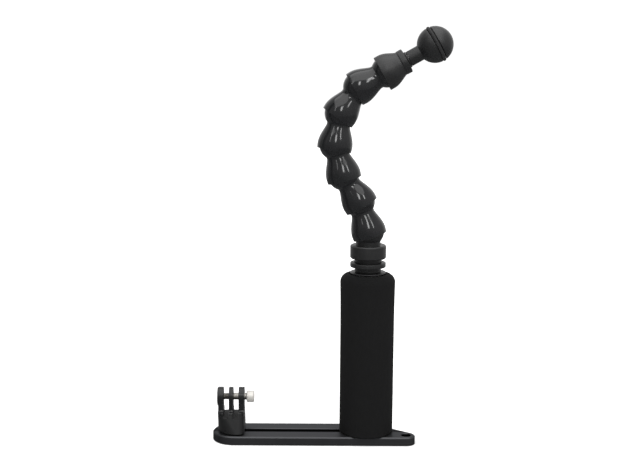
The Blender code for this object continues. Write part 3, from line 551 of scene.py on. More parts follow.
def eased(points, radius, closed=False):
    """Swap each corner of a line of points for a small curve, where the line turns enough."""
    spots = [Vector(point) for point in points]
    ring = spots[-1:] + spots + spots[:1] if closed else spots
    smooth = [] if closed else [spots[0]]
    for before, corner, after in zip(ring, ring[1:], ring[2:]):
        arrive = before - corner
        leave = after - corner
        if math.pi - arrive.angle(leave, math.pi) < EASING_TURN:
            smooth.append(corner)
            continue
        reach = min(radius, EASING_REACH_SHARE * arrive.length, EASING_REACH_SHARE * leave.length)
        start = corner + arrive.normalized() * reach
        end = corner + leave.normalized() * reach
        for step in range(EASING_STEPS + 1):
            share = step / EASING_STEPS
            smooth.append(start.lerp(corner, share).lerp(corner.lerp(end, share), share))
    if not closed:
        smooth.append(spots[-1])
    return [tuple(spot) for spot in smooth]


# Shader maths

class Value:
    """A number or colour that varies from place to place. Arithmetic on it adds Math nodes to its tree."""

    def __init__(self, nodes, socket):
        self.nodes = nodes
        self.socket = socket

    def math(self, operation, first, second=0.0):
        return self.nodes.math(operation, first, second)

    def __add__(self, other):
        return self.math("ADD", self, other)

    def __radd__(self, other):
        return self.math("ADD", other, self)

    def __sub__(self, other):
        return self.math("SUBTRACT", self, other)

    def __rsub__(self, other):
        return self.math("SUBTRACT", other, self)

    def __mul__(self, other):
        return self.math("MULTIPLY", self, other)

    def __rmul__(self, other):
        return self.math("MULTIPLY", other, self)

    def __pow__(self, other):
        return self.math("POWER", self, other)


class Nodes:
    """A node tree in the making, and the shader in it that the other nodes feed."""

    def __init__(self, tree, shader):
        self.tree = tree
        self.shader = tree.nodes[shader]

    def node(self, kind, settings, sockets, output=0):
        """Add a node: its settings first, then the values or links of its sockets."""
        made = self.tree.nodes.new(kind)
        for name, value in settings.items():
            setattr(made, name, value)
        for name, value in sockets.items():
            if isinstance(value, Value):
                self.tree.links.new(value.socket, made.inputs[name])
            else:
                made.inputs[name].default_value = value
        return Value(self, made.outputs[output])

    def feed(self, socket, value):
        """Link a value to one of the shader's own sockets, or set the socket."""
        if isinstance(value, Value):
            self.tree.links.new(value.socket, self.shader.inputs[socket])
        else:
            self.shader.inputs[socket].default_value = value

    def math(self, operation, first, second=0.0):
        """A maths node on values that have no sign of their own in Python."""
        return self.node("ShaderNodeMath", {"operation": operation}, {0: first, 1: second})

    def parts(self, vector):
        """The X, Y and Z of a vector."""
        separate = self.node("ShaderNodeSeparateXYZ", {}, {0: vector}).socket.node
        return [Value(self, output) for output in separate.outputs]

    def reach(self, first, second):
        """How far two distances at right angles reach together."""
        return (first * first + second * second) ** 0.5

    def spread(self, value, low, high, to_low=0.0, to_high=1.0):
        """Spread a range of a value over another range, and hold it at the ends."""
        ends = {"From Min": low, "From Max": high, "To Min": to_low, "To Max": to_high}
        return self.node("ShaderNodeMapRange", {}, {"Value": value, **ends})


class Finish(Nodes):
    """One surface finish in the making: its material and the nodes that feed it."""

    def __init__(self, name, metallic=0.0, specular=0.5):
        self.material = bpy.data.materials.new(name)
        self.material.use_nodes = True
        super().__init__(self.material.node_tree, "Principled BSDF")
        self.shader.inputs["Metallic"].default_value = metallic
        self.shader.inputs["Specular IOR Level"].default_value = specular

    def place(self):
        """Where a point of the surface is on the whole object."""
        return self.node("ShaderNodeTexCoord", {}, {}, "Object")

    def own_place(self):
        """Where a point is in the piece's own upright frame, from its stored attribute."""
        return self.node("ShaderNodeAttribute", {"attribute_name": "own_place"}, {}, "Vector")

    def stretched(self, place, scale):
        return self.node("ShaderNodeMapping", {}, {"Vector": place, "Scale": scale})

    def noise(self, place, size, detail=2.0, roughness=0.5):
        """Soft blotches of about the given size, from 0 to 1."""
        sockets = {"Vector": place, "Scale": 1 / size, "Detail": detail, "Roughness": roughness}
        return self.node("ShaderNodeTexNoise", {}, sockets)

    def cells(self, place, size):
        """Distance from the middle of the nearest of many cells of the given size, from 0 to about 1."""
        return self.node("ShaderNodeTexVoronoi", {}, {"Vector": place, "Scale": 1 / size})

    def mix(self, share, *colours):
        """Blend two colours, each of them fixed or varying."""
        first, second = [end if isinstance(end, Value) else (*end, 1.0) for end in colours]
        return self.node("ShaderNodeMix", {"data_type": "RGBA"}, {0: share, 6: first, 7: second}, 2)

    def shades(self, share, base, darker, lighter):
        """Blend two shades of one colour."""
        return self.mix(share, [part * darker for part in base], [part * lighter for part in base])

    def bump(self, height, depth, below=None):
        """Turn a height from 0 to 1 into dents of the given depth, on top of any dents below."""
        sockets = {"Height": height, "Distance": depth}
        if below is not None:
            sockets["Normal"] = below
        return self.node("ShaderNodeBump", {}, sockets)

    def done(self, colour, roughness, dents):
        """Feed the three inputs that most finishes vary, and hand over the material."""
        self.feed("Base Color", colour)
        self.feed("Roughness", roughness)
        self.feed("Normal", dents)
        return self.material

    def lathe_marks(self, place, pitch):
        """Fine rings round the piece's own upright axis, as a cutting tool leaves them."""
        across, sideways, along = self.parts(place)
        line = self.node("ShaderNodeCombineXYZ", {}, {"X": self.reach(across, sideways), "Y": along})
        return self.noise(line, pitch, detail=3.0, roughness=0.6)


def finish_once(make):
    """The finish that a function makes, named after it and made the first time that it is asked for."""
    name = make.__name__
    found = bpy.data.materials.get(name)
    return found if found is not None else make(name)


def satin_anodised(name):
    """Satin anodised aluminium: blasted grain and drawn lines, with painted shade on the walls of the slot
    and the strap hole.
    """
    base = bpy.context.scene.camera_tray_colours.anodised
    # Near-black colour for the walls of the slot and the strap hole: painted shade in these holes
    painted_hole_shade = [part * 0.08 for part in base]
    sizes = bpy.context.scene.camera_tray_plate
    finish = Finish(name, metallic=0.85)
    place = finish.place()
    clouds = finish.noise(place, size=0.011, detail=3.0)
    grain = finish.noise(place, size=0.00024, detail=3.0, roughness=0.6)
    drawn = finish.noise(finish.stretched(place, (0.02, 1.0, 1.0)), size=0.00030)
    across, away = finish.parts(place)[:2]
    ear_x, ear_y = ear_centre(sizes)
    slot_wall = sizes.slot_width / 2
    hole_wall = sizes.strap_hole / 2
    fade = 0.3 * sizes.lead_in
    from_slot = finish.spread(finish.math("ABSOLUTE", away), slot_wall, slot_wall + fade)
    from_ear = finish.reach(across - ear_x, away - ear_y)
    outside = from_slot * finish.spread(from_ear, hole_wall, hole_wall + fade)
    grey = finish.shades(clouds * 0.6 + grain * 0.4, base, 0.86, 1.14)
    roughness = 0.32 + clouds * 0.08 + grain * 0.08
    dents = finish.bump(grain, depth=0.000010, below=finish.bump(drawn, depth=0.000004))
    finish.feed("Specular Tint", (0.45, 0.45, 0.46, 1.0))
    # Inside the holes the colour is the painted shade, outside them the anodised grey
    return finish.done(finish.mix(outside, painted_hole_shade, grey), roughness, dents)


def matt_plastic(name, specular=0.45, gap_floor=None):
    """Spark-eroded moulded plastic: an even fine grain with soft changes of sheen.

    Where a gap's floor has a height, the skin is rougher on that floor and smoother above it.
    """
    base = bpy.context.scene.camera_tray_colours.plastic
    finish = Finish(name, specular=specular)
    place = finish.place()
    clouds = finish.noise(place, size=0.006, detail=3.0)
    grain = finish.noise(place, size=0.00018, roughness=0.65)
    roughness = 0.36 + clouds * 0.08 + grain * 0.06
    if gap_floor is not None:
        above = finish.parts(place)[2] - gap_floor
        on_floor = finish.spread(finish.math("ABSOLUTE", above), 0.0001, 0.0003, 1.0, 0.0)
        roughness = roughness - finish.spread(above, 0.0005, 0.0025, 0.0, 0.18) + on_floor * 0.25
    dents = finish.bump(grain, depth=0.000006)
    return finish.done(finish.shades(clouds, base, 0.82, 1.20), roughness, dents)


def mount_plastic(name):
    """The camera mount's plastic: matt on the riser, and smoother on the prongs."""
    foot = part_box("camera_mount")[0].z
    return matt_plastic(name, specular=0.32, gap_floor=foot + bpy.context.scene.camera_tray_riser.gap_floor)


def gloss_plastic(name):
    """Glossy moulded plastic: slow waves in the skin, faint handling marks and a little dust."""
    base = bpy.context.scene.camera_tray_colours.gloss
    finish = Finish(name, specular=0.40)
    place = finish.place()
    waves = finish.noise(finish.own_place(), size=0.0045, detail=1.0)
    smears = finish.noise(finish.stretched(place, (1.0, 1.0, 0.4)), size=0.0028, detail=4.0, roughness=0.6)
    fine = finish.noise(place, size=0.00035)
    roughness = 0.09 + finish.spread(smears, 0.35, 0.75) * 0.05 + fine * 0.01
    dents = finish.bump(waves, depth=0.000008, below=finish.bump(fine, depth=0.0000002))
    return finish.done(finish.shades(smears, base, 0.80, 1.25), roughness, dents)


def cell_foam(name):
    """Closed-cell foam with a ground skin: small open cells with painted shade in their pits, a tone that
    varies at random, and a dull nap.
    """
    base = bpy.context.scene.camera_tray_colours.foam
    finish = Finish(name, specular=0.12)
    place = finish.place()
    cells = finish.cells(place, size=0.00042)
    wide = finish.noise(place, size=0.0040, detail=3.0)
    nap = finish.noise(place, size=0.00016, detail=3.0, roughness=0.7)
    # The cells darken the pits as painted shade; the wide blotches and the nap vary the tone at random
    foam_tone_and_pit_shade = finish.shades(cells * 0.45 + wide * 0.30 + nap * 0.25, base, 0.70, 1.30)
    return finish.done(foam_tone_and_pit_shade, 0.86 + wide * 0.10, finish.bump(cells * 0.7 + nap * 0.3, depth=0.000050))


def turned_steel(name):
    """Turned stainless steel: rings left by the tool, on a base that changes a little across it."""
    base = bpy.context.scene.camera_tray_colours.steel
    finish = Finish(name, metallic=1.0)
    place = finish.own_place()
    rings = finish.lathe_marks(place, pitch=0.00010)
    stains = finish.noise(place, size=0.0022, detail=4.0, roughness=0.6)
    grey = finish.shades(stains * 0.6 + rings * 0.4, base, 0.90, 1.06)
    roughness = 0.30 + rings * 0.08 + finish.spread(stains, 0.4, 0.8) * 0.08
    return finish.done(grey, roughness, finish.bump(rings, depth=0.000004))


def plated_steel(name):
    """Plated steel: a pale satin knob, and a shank whose darker colour is painted shade between the prongs.
    """
    colours = bpy.context.scene.camera_tray_colours
    shank = bpy.context.scene.camera_tray_fasteners.screw / 2
    finish = Finish(name)
    place = finish.own_place()
    radius = finish.reach(*finish.parts(place)[:2])
    on_knob = finish.spread(radius, shank + 0.0002, shank + 0.0006)
    rings = finish.lathe_marks(place, pitch=0.00012)
    stains = finish.noise(place, size=0.0022, detail=4.0, roughness=0.6)
    shade = 0.92 + stains * 0.10 + rings * 0.06
    # Darker colour on the shank below the knob: painted shade between the prongs
    grey = finish.mix(on_knob * shade, colours.steel_shank, colours.bright_steel)
    finish.feed("Metallic", 1.0 - on_knob * 0.55)
    return finish.done(grey, 0.46 + stains * 0.10, finish.bump(rings, depth=0.000004))


def held_metal(name, base, roughness):
    """Metal of a piece that is held inside: drawn stock with a fine grain and a few stains."""
    finish = Finish(name, metallic=1.0)
    place = finish.place()
    drawn = finish.noise(finish.stretched(place, (1.0, 1.0, 0.05)), size=0.00025, detail=3.0)
    stains = finish.noise(place, size=0.0030, detail=4.0, roughness=0.6)
    metal = finish.shades(stains * 0.5 + drawn * 0.5, base, 0.86, 1.08)
    roughness = roughness + drawn * 0.10 + stains * 0.06
    return finish.done(metal, roughness, finish.bump(drawn, depth=0.000006))


def insert_brass(name):
    return held_metal(name, bpy.context.scene.camera_tray_colours.brass, roughness=0.30)


def core_aluminium(name):
    return held_metal(name, bpy.context.scene.camera_tray_colours.aluminium, roughness=0.34)


def drawn_steel(name):
    return held_metal(name, bpy.context.scene.camera_tray_colours.steel, roughness=0.32)


def ring_rubber(name):
    """Moulded rubber: dull, with a powdery bloom in patches."""
    base = bpy.context.scene.camera_tray_colours.rubber
    finish = Finish(name, specular=0.30)
    place = finish.place()
    bloom = finish.noise(place, size=0.0020, detail=4.0, roughness=0.65)
    grain = finish.noise(place, size=0.00014)
    foam_tone_and_pit_shade = finish.shades(finish.spread(bloom, 0.45, 0.80), base, 0.85, 1.45)
    return finish.done(foam_tone_and_pit_shade, 0.58 + bloom * 0.16, finish.bump(grain, depth=0.000008))


def pale_floor(name):
    """Seamless studio paper with a faint tooth that glows: dimmer round the object and dark under the
    plate, a painted shadow.
    """
    base = bpy.context.scene.camera_tray_colours.floor
    settings = bpy.context.scene.camera_tray_stage
    finish = Finish(name, specular=0.0)
    place = finish.place()
    tooth = finish.noise(place, size=0.0011, detail=3.0)
    across, away = finish.parts(place)[:2]
    beside = finish.math("MAXIMUM", finish.math("ABSOLUTE", across) - settings.covered_half_length, 0.0)
    # Painted shadow: no glow where the plate covers the floor, rising to the near glow just beyond it
    near = finish.spread(finish.reach(beside, away), 0.010, 0.015, 0.0, settings.near_glow)
    # Painted shade round the object: the glow rises to the far glow away from it
    far = finish.spread(finish.reach(across, away), 0.15, 0.8, 0.0, settings.far_glow - settings.near_glow)
    finish.feed("Base Color", finish.shades(tooth, base, 0.985, 1.0))
    finish.feed("Roughness", 0.9)
    finish.feed("Emission Color", finish.mix(near + far, (0.0, 0.0, 0.0), base))
    finish.feed("Emission Strength", 1.0)
    return finish.material


# Operators, one for each piece or group of like pieces

def on_circle(place, centre, radius):
    """Whether a place lies over a circle about a centre."""
    return abs(math.hypot(place.x - centre[0], place.y - centre[1]) - radius) < SAME_PLACE


class CAMERATRAY_OT_make_plate(bpy.types.Operator):
    """Model the slotted plate, with its strap ear, its cut-back corner and the pockets underneath"""

    bl_idname = "camera_tray.make_plate"
    bl_label = "Slotted plate"

    def outline(self, sizes, low, high):
        """Full-round left end, straight front, an ear round the strap hole and a back corner cut away."""
        half = (high.y - low.y) / 2
        left_end = arc((low.x + half, 0), half, QUARTER_TURN, 3 * QUARTER_TURN, 2 * ARC_STEPS)
        slant = QUARTER_TURN - sizes.cutback
        ear = arc(ear_centre(sizes), sizes.ear_radius, -QUARTER_TURN, slant, 2 * ARC_STEPS)
        touch = Vector(ear[-1])
        side = Vector((math.cos(slant), math.sin(slant)))
        corner_y = high.y - sizes.corner_radius
        reach = touch.dot(side) - sizes.corner_radius - corner_y * side.y
        corner_centre = (reach / side.x, corner_y)
        return left_end + ear + arc(corner_centre, sizes.corner_radius, slant, QUARTER_TURN, ARC_STEPS)

    def execute(self, context):
        sizes = context.scene.camera_tray_plate
        low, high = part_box("tray_plate")
        plate = prism("slotted_plate", self.outline(sizes, low, high), low.z, high.z)
        bevel_where(plate, lambda place: place.z > high.z - SAME_PLACE, sizes.top_chamfer)
        bevel_where(plate, lambda place: place.z < low.z + SAME_PLACE, sizes.foot_chamfer)

        left = MOUNT_AXIS.x
        right = HANDLE_AXIS.x - sizes.slot_margin
        top = high.z + CUT_OVERRUN
        pocket_top = low.z + sizes.pocket_depth
        ear = ear_centre(sizes)
        cutters = (
            ("slot", stadium(left, right, sizes.slot_width), top),
            ("slot_pocket", stadium(left, right, sizes.pocket_width), pocket_top),
            ("handle_hole", circle(HANDLE_AXIS, sizes.slot_width), top),
            ("handle_pocket", circle(HANDLE_AXIS, sizes.pocket_width), pocket_top),
            ("strap_hole", circle(ear, sizes.strap_hole), top),
        )
        for name, outline, end in cutters:
            combine(plate, prism(name, outline, low.z - CUT_OVERRUN, end))

        def on_slot_rim(place):
            along = min(max(place.x, left), right)
            return place.z > high.z - SAME_PLACE and on_circle(place, (along, 0), sizes.slot_width / 2)

        def on_strap_rim(place):
            return place.z > high.z - SAME_PLACE and on_circle(place, ear, sizes.strap_hole / 2)

        bevel_where(plate, on_slot_rim, sizes.lead_in)
        bevel_where(plate, on_strap_rim, sizes.lead_in)
        ease_edges(plate, sizes.edge)
        fit(plate, "tray_plate", satin_anodised)
        return {"FINISHED"}


class CAMERATRAY_OT_make_riser(bpy.types.Operator):
    """Model the camera mount: a tapered riser with three prongs"""

    bl_idname = "camera_tray.make_riser"
    bl_label = "Camera mount"

    def riser(self, sizes, left, right_foot, right_top, foot):
        """Skin round four levels, each with wide corners on the left and small ones on the right."""
        levels = (
            (0, right_foot, sizes.foot_depth, sizes.foot_left_radius, sizes.foot_chamfer),
            (sizes.foot_chamfer, right_foot, sizes.foot_depth, sizes.foot_left_radius, 0),
            (sizes.rise - sizes.rim_chamfer, right_top, sizes.top_depth, sizes.top_left_radius, 0),
            (sizes.rise, right_top, sizes.top_depth, sizes.top_left_radius, sizes.rim_chamfer),
        )
        outlines = []
        for height, right, depth, left_radius, inset in levels:
            half = depth / 2
            right_radius = sizes.right_radius
            corners = (
                (right - right_radius, half - right_radius, right_radius, 0),
                (left_radius - left, half - left_radius, left_radius, QUARTER_TURN),
                (left_radius - left, left_radius - half, left_radius, 2 * QUARTER_TURN),
                (right - right_radius, right_radius - half, right_radius, 3 * QUARTER_TURN),
            )
            outline = []
            for x, y, radius, start in corners:
                outline += arc((x, y), radius - inset, start, start + QUARTER_TURN)
            outlines.append([tuple(foot + Vector((x, y, height))) for x, y in outline])
        return hull("pronged_riser", outlines)

    def prongs(self, sizes, left, right, foot):
        """The prongs before their gaps are cut: a round head on legs with flared feet, from the side."""
        radius = sizes.head_radius
        leg = radius - sizes.leg_set_back
        under = math.acos(leg / radius)
        flare = sizes.flare
        rim = sizes.rise + flare
        base = sizes.rise - sizes.rim_chamfer
        screw = SCREW_AXIS.z - foot.z
        back = arc((leg + flare, rim), flare, -QUARTER_TURN, -math.pi)
        head = arc((0, screw), radius, -under, math.pi + under, 2 * ARC_STEPS)
        front = arc((-leg - flare, rim), flare, 0, -QUARTER_TURN)
        outline = [(leg + flare, base)] + back + head + front + [(-leg - flare, base)]
        places = [tuple(foot + Vector((-left, y, z))) for y, z in outline]
        return extrude_outline("prongs", places, (left + right, 0, 0))

    def execute(self, context):
        sizes = context.scene.camera_tray_riser
        low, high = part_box("camera_mount")
        foot = Vector((MOUNT_AXIS.x, MOUNT_AXIS.y, low.z))
        gap_start = sizes.middle_prong / 2
        gap_end = gap_start + sizes.prong_gap
        left = gap_end + sizes.nut_prong
        right = gap_end + sizes.knob_prong
        margin = sizes.rim_margin
        mount = self.riser(sizes, left + margin, high.x - foot.x, right + margin, foot)
        combine(mount, self.prongs(sizes, left, right, foot), "UNION")

        depth = sizes.foot_depth
        top = high.z - foot.z + CUT_OVERRUN
        for start, end in ((-gap_end, -gap_start), (gap_start, gap_end)):
            corners = [(start, sizes.gap_floor), (end, sizes.gap_floor), (end, top), (start, top)]
            places = [tuple(foot + Vector((x, -depth, z))) for x, z in corners]
            combine(mount, extrude_outline("prong_gap", places, (0, 2 * depth, 0)))

        nut_face = left + sizes.boss_height
        boss_outline = polygon(2 * (sizes.head_radius - sizes.boss_rim), TURN_STEPS)
        boss = prism("nut_boss", boss_outline, -nut_face, sizes.boss_height - left)
        combine(mount, lay(boss, SCREW_AXIS, QUARTER_TURN), "UNION")
        reach = left + right + CUT_OVERRUN
        cutters = (
            ("screw_bore", polygon(sizes.bore, SMALL_TURN_STEPS), reach),
            ("nut_recess", polygon(sizes.nut_room, HEX_SIDES), sizes.nut_recess - nut_face),
        )
        for name, outline, end in cutters:
            combine(mount, lay(prism(name, outline, -reach, end), SCREW_AXIS, QUARTER_TURN))
        insert_room = polygon(sizes.insert_room, SMALL_TURN_STEPS)
        combine(mount, lay(prism("insert_room", insert_room, -CUT_OVERRUN, sizes.insert_depth), foot))
        ease_edges(mount, sizes.edge)
        fit(mount, "camera_mount", mount_plastic)
        return {"FINISHED"}


class CAMERATRAY_OT_make_thumb_screw(bpy.types.Operator):
    """Model the thumb screw: a knurled knob on a partly threaded shank"""

    bl_idname = "camera_tray.make_thumb_screw"
    bl_label = "Thumb screw"

    # Half the width of the thread's ridge, as a share of the pitch
    RIDGE_SHARE = 0.45

    def thread(self, sizes, tip, crest, root):
        """A ridge that winds along the shank, closed at both ends."""
        pitch = sizes.thread_pitch
        half = pitch * self.RIDGE_SHARE
        inner = root - sizes.thread_depth
        places = [(inner, 0, tip), (root, 0, tip), (crest, 0, tip + half), (root, 0, tip + 2 * half)]
        places.append((inner, 0, tip + 2 * half))
        ridge = draw_line("thread", places + places[:1])
        bpy.ops.mesh.select_all(action="SELECT")
        bpy.ops.mesh.remove_doubles(threshold=MERGE_DISTANCE)
        bpy.ops.object.mode_set(mode="OBJECT")
        modify(
            ridge,
            "SCREW",
            screw_offset=pitch,
            iterations=round(sizes.thread_length / pitch),
            steps=SMALL_TURN_STEPS,
            render_steps=SMALL_TURN_STEPS,
            merge_threshold=MERGE_DISTANCE,
        )
        bpy.ops.object.mode_set(mode="EDIT")
        bpy.ops.mesh.select_all(action="DESELECT")
        bpy.ops.mesh.select_non_manifold()
        bpy.ops.mesh.edge_face_add()
        return close_up(ridge)

    def knurl(self, screw, sizes, start, end):
        """Push every second row of points on the knob's barrel in, which leaves fine ridges."""
        select_only(screw)
        bpy.ops.object.mode_set(mode="EDIT")
        bpy.ops.mesh.select_all(action="DESELECT")
        bm = bmesh.from_edit_mesh(screw.data)
        barrel = sizes.knob / 2 - SAME_PLACE
        for corner in bm.verts:
            row = round(math.atan2(corner.co.y, corner.co.x) / FULL_TURN * TURN_STEPS)
            on_barrel = start < corner.co.z < end and math.hypot(corner.co.x, corner.co.y) > barrel
            corner.select = on_barrel and row % 2 == 0
        bm.select_flush_mode()
        bmesh.update_edit_mesh(screw.data)
        share = 1 - 2 * sizes.knurl_depth / sizes.knob
        bpy.ops.transform.resize(value=(share, share, 1), center_override=(0, 0, 0))
        bpy.ops.object.mode_set(mode="OBJECT")

    def execute(self, context):
        sizes = context.scene.camera_tray_fasteners
        low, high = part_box("thumb_screw")
        tip = low.x - SCREW_AXIS.x
        end = high.x - SCREW_AXIS.x
        knob_start = end - sizes.knob_length
        shank = sizes.screw / 2
        root = shank - sizes.thread_depth
        thread_end = tip + sizes.thread_length
        barrel = sizes.knob / 2
        rounding = sizes.knob_round
        dish = sizes.knob_dish / 2
        profile = [
            (0, tip),
            (root - sizes.edge, tip),
            (root, tip + sizes.edge),
            (root, thread_end),
            (shank, thread_end + sizes.thread_depth),
            (shank, knob_start),
        ]
        profile += arc((barrel - rounding, knob_start + rounding), rounding, -QUARTER_TURN, 0, EASING_STEPS)
        rows = range(1, EASING_STEPS)
        band = sizes.knob_length - 2 * rounding
        profile += [(barrel, knob_start + rounding + band * row / EASING_STEPS) for row in rows]
        profile += arc((barrel - rounding, end - rounding), rounding, 0, QUARTER_TURN, EASING_STEPS)
        profile += [(dish, end), (dish - sizes.edge, end - sizes.edge), (0, end - sizes.edge)]
        screw = turn("knurled_thumb_screw", profile)
        self.knurl(screw, sizes, knob_start + rounding / 2, end - rounding / 2)
        thread = self.thread(sizes, tip + sizes.edge, shank, root)
        combine(screw, thread, "UNION")
        select_only(screw)
        bpy.ops.object.shade_smooth_by_angle(angle=SHARP_ANGLE)
        lay(screw, SCREW_AXIS, QUARTER_TURN)
        fit(screw, "thumb_screw", plated_steel)
        return {"FINISHED"}


class CAMERATRAY_OT_make_bolts(bpy.types.Operator):
    """Model the two bolts under the plate, the washers and the nut in the left prong"""

    bl_idname = "camera_tray.make_bolts"
    bl_label = "Bolts, washers and nut"

    def bolt(self, name, node, sizes):
        """A bolt from below, with a six-sided key socket in its head."""
        low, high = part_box(node)
        rise = high.z - low.z
        profile = [
            (0, 0),
            (sizes.bolt_head / 2, 0),
            (sizes.bolt_head / 2, sizes.bolt_head_height),
            (sizes.bolt / 2, sizes.bolt_head_height),
            (sizes.bolt / 2, rise),
            (0, rise),
        ]
        bolt = turn(name, profile, sizes.edge)
        key = prism("key_socket", polygon(sizes.bolt_key, HEX_SIDES), -CUT_OVERRUN, sizes.bolt_key_depth)
        combine(bolt, key)
        centre = (low + high) / 2
        lay(bolt, (centre.x, centre.y, low.z))
        fit(bolt, node, turned_steel)

    def nut(self, sizes):
        """The six-sided nut, whose plain hole clears the screw."""
        low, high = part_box("prong_nut")
        across = min(high.y - low.y, high.z - low.z)
        half = (high.x - low.x) / 2
        nut = prism("captive_nut", polygon(across, HEX_SIDES), -half, half)
        hole = sizes.screw + 2 * sizes.nut_play
        combine(nut, prism("nut_hole", polygon(hole, SMALL_TURN_STEPS), -2 * half, 2 * half))
        ease_edges(nut, sizes.edge)
        lay(nut, (low + high) / 2, QUARTER_TURN)
        fit(nut, "prong_nut", plated_steel)

    def execute(self, context):
        sizes = context.scene.camera_tray_fasteners
        hole = context.scene.camera_tray_plate.slot_width
        self.bolt("handle_socket_bolt", "handle_bolt", sizes)
        self.bolt("mount_socket_bolt", "mount_bolt", sizes)
        for name, node in (("handle_washer", "handle_bolt_washer"), ("mount_washer", "mount_bolt_washer")):
            low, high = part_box(node)
            washer = flat_ring(name, hole, high.x - low.x, high.z - low.z, sizes.edge)
            fit(lay(washer, (low + high) / 2), node, turned_steel)
        low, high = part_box("ball_stem_washer")
        tilt = lean(SOCKETS[-1], ball_centre())
        outer = high.y - low.y
        thickness = (high.x - low.x - outer * math.cos(tilt)) / math.sin(tilt)
        washer = flat_ring("stem_washer", hole, outer, thickness, sizes.edge)
        fit(lay(washer, (low + high) / 2, tilt), "ball_stem_washer", matt_plastic)
        self.nut(sizes)
        return {"FINISHED"}


class CAMERATRAY_OT_make_foam_grip(bpy.types.Operator):
    """Model the foam sleeve, with a round shoulder and the uneven skin of ground foam"""

    bl_idname = "camera_tray.make_foam_grip"
    bl_label = "Foam grip"

    # Rows of the sleeve's side, and the sizes and detail of the blotches in its skin
    BODY_STEPS = 56
    SWELL_SIZE = 0.012
    SKIN_SIZE = 0.0012
    BLOTCH_DETAIL = 2

    def roughen(self, grip, name, size, depth):
        """Dent the skin inwards by up to a depth, in blotches of a size."""
        texture = bpy.data.textures.new(name, "CLOUDS")
        texture.noise_scale = size
        texture.noise_depth = self.BLOTCH_DETAIL
        modify(grip, "DISPLACE", texture=texture, texture_coords="LOCAL", strength=depth, mid_level=1.0)

    def execute(self, context):
        sizes = context.scene.camera_tray_grip
        low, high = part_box("foam_grip")
        bottom = low.z - sizes.seat
        rise = high.z - bottom
        top = sizes.top / 2
        foot = sizes.foot / 2
        body_top = rise - sizes.shoulder
        foot_round = sizes.foot_radius
        profile = [(sizes.bore / 2, 0)]
        profile += arc((foot - foot_round, foot_round), foot_round, -QUARTER_TURN, 0, EASING_STEPS)
        for step in range(1, self.BODY_STEPS):
            share = step / self.BODY_STEPS
            height = foot_round + (body_top - foot_round) * share
            profile.append((foot + (top - foot) * share**sizes.flare_power, height))
        profile += arc((top - sizes.shoulder, body_top), sizes.shoulder, 0, QUARTER_TURN, ARC_STEPS // 2)
        profile.append((sizes.bore / 2, rise))
        grip = turn("foam_sleeve", profile, closed=True)
        modify(grip, "SUBSURF", levels=1, render_levels=1)
        lay(grip, on_handle(bottom))
        self.roughen(grip, "foam_swell", self.SWELL_SIZE, sizes.swell)
        self.roughen(grip, "foam_skin", self.SKIN_SIZE, sizes.skin)
        fit(grip, "foam_grip", cell_foam)
        return {"FINISHED"}


class CAMERATRAY_OT_make_neck_rings(bpy.types.Operator):
    """Model the cap on the grip and the lock ring on the neck"""

    bl_idname = "camera_tray.make_neck_rings"
    bl_label = "Cap and lock ring"

    def execute(self, context):
        sizes = context.scene.camera_tray_neck
        rings = (
            ("grip_cap", "grip_end_cap", sizes.stud_hole),
            ("neck_lock_ring", "arm_lock_ring", sizes.ring_hole),
        )
        for name, node, hole in rings:
            low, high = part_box(node)
            ring = flat_ring(name, hole, high.y - low.y, high.z - low.z, 2 * sizes.edge)
            lay(ring, on_handle((low.z + high.z) / 2))
            fit(ring, node, matt_plastic)
        return {"FINISHED"}


def ball_profile(sizes, centre, waist):
    """From the waist round the ball to its open mouth, and back down its bore to the waist."""
    waist_angle = math.acos(waist / sizes.ball)
    mouth_angle = math.acos(sizes.mouth / sizes.ball)
    points = arc((0, centre), sizes.ball, -waist_angle, mouth_angle)
    return points + [(sizes.bore, points[-1][1])]


def bell_profile(sizes, skirt, rim, waist, rise):
    """From the rim up a round skirt that draws in to the waist, a little straighter than a cosine wave."""
    points = [(rim, -sizes.rim_drop)]
    for step in range(ARC_STEPS + 1):
        share = step / ARC_STEPS
        radius = waist + (skirt - waist) * max(0, math.cos(QUARTER_TURN * share)) ** sizes.bell_draw
        points.append((radius, share * rise - sizes.skirt_drop))
    return points


def socket_profile(sizes, rim, opening):
    """From the bore down the inside of the socket to its throat, and out to the thin lip of the rim."""
    radius = sizes.ball + sizes.joint_gap
    opening_angle = math.acos(opening / radius)
    throat_angle = -math.asin(sizes.throat_drop / radius)
    points = arc((0, 0), radius, opening_angle, throat_angle)
    return points + [(rim - sizes.lip, -sizes.rim_drop)]


class CAMERATRAY_OT_make_connector(bpy.types.Operator):
    """Model the neck, the collar and the first ball of the arm in one piece"""

    bl_idname = "camera_tray.make_connector"
    bl_label = "Hose connector"

    def execute(self, context):
        sizes = context.scene.camera_tray_neck
        hose = context.scene.camera_tray_hose
        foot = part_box("hose_base_connector")[0].z
        collar_end = sizes.neck_length + sizes.collar_length
        stud_hole = sizes.stud_hole / 2
        profile = [(stud_hole, 0), (sizes.neck / 2, 0), (sizes.neck / 2, sizes.neck_length)]
        profile += disc(sizes.collar / 2, sizes.neck_length, collar_end, sizes.collar_chamfer)
        profile.append((sizes.upper_waist, collar_end))
        profile += ball_profile(hose, collar_end + sizes.upper_neck, sizes.upper_waist)
        profile += [(hose.bore, sizes.stud_depth), (stud_hole, sizes.stud_depth)]
        connector = turn("collar_connector", profile, sizes.edge, closed=True)
        lay(connector, on_handle(foot))
        fit(connector, "hose_base_connector", matt_plastic)
        return {"FINISHED"}


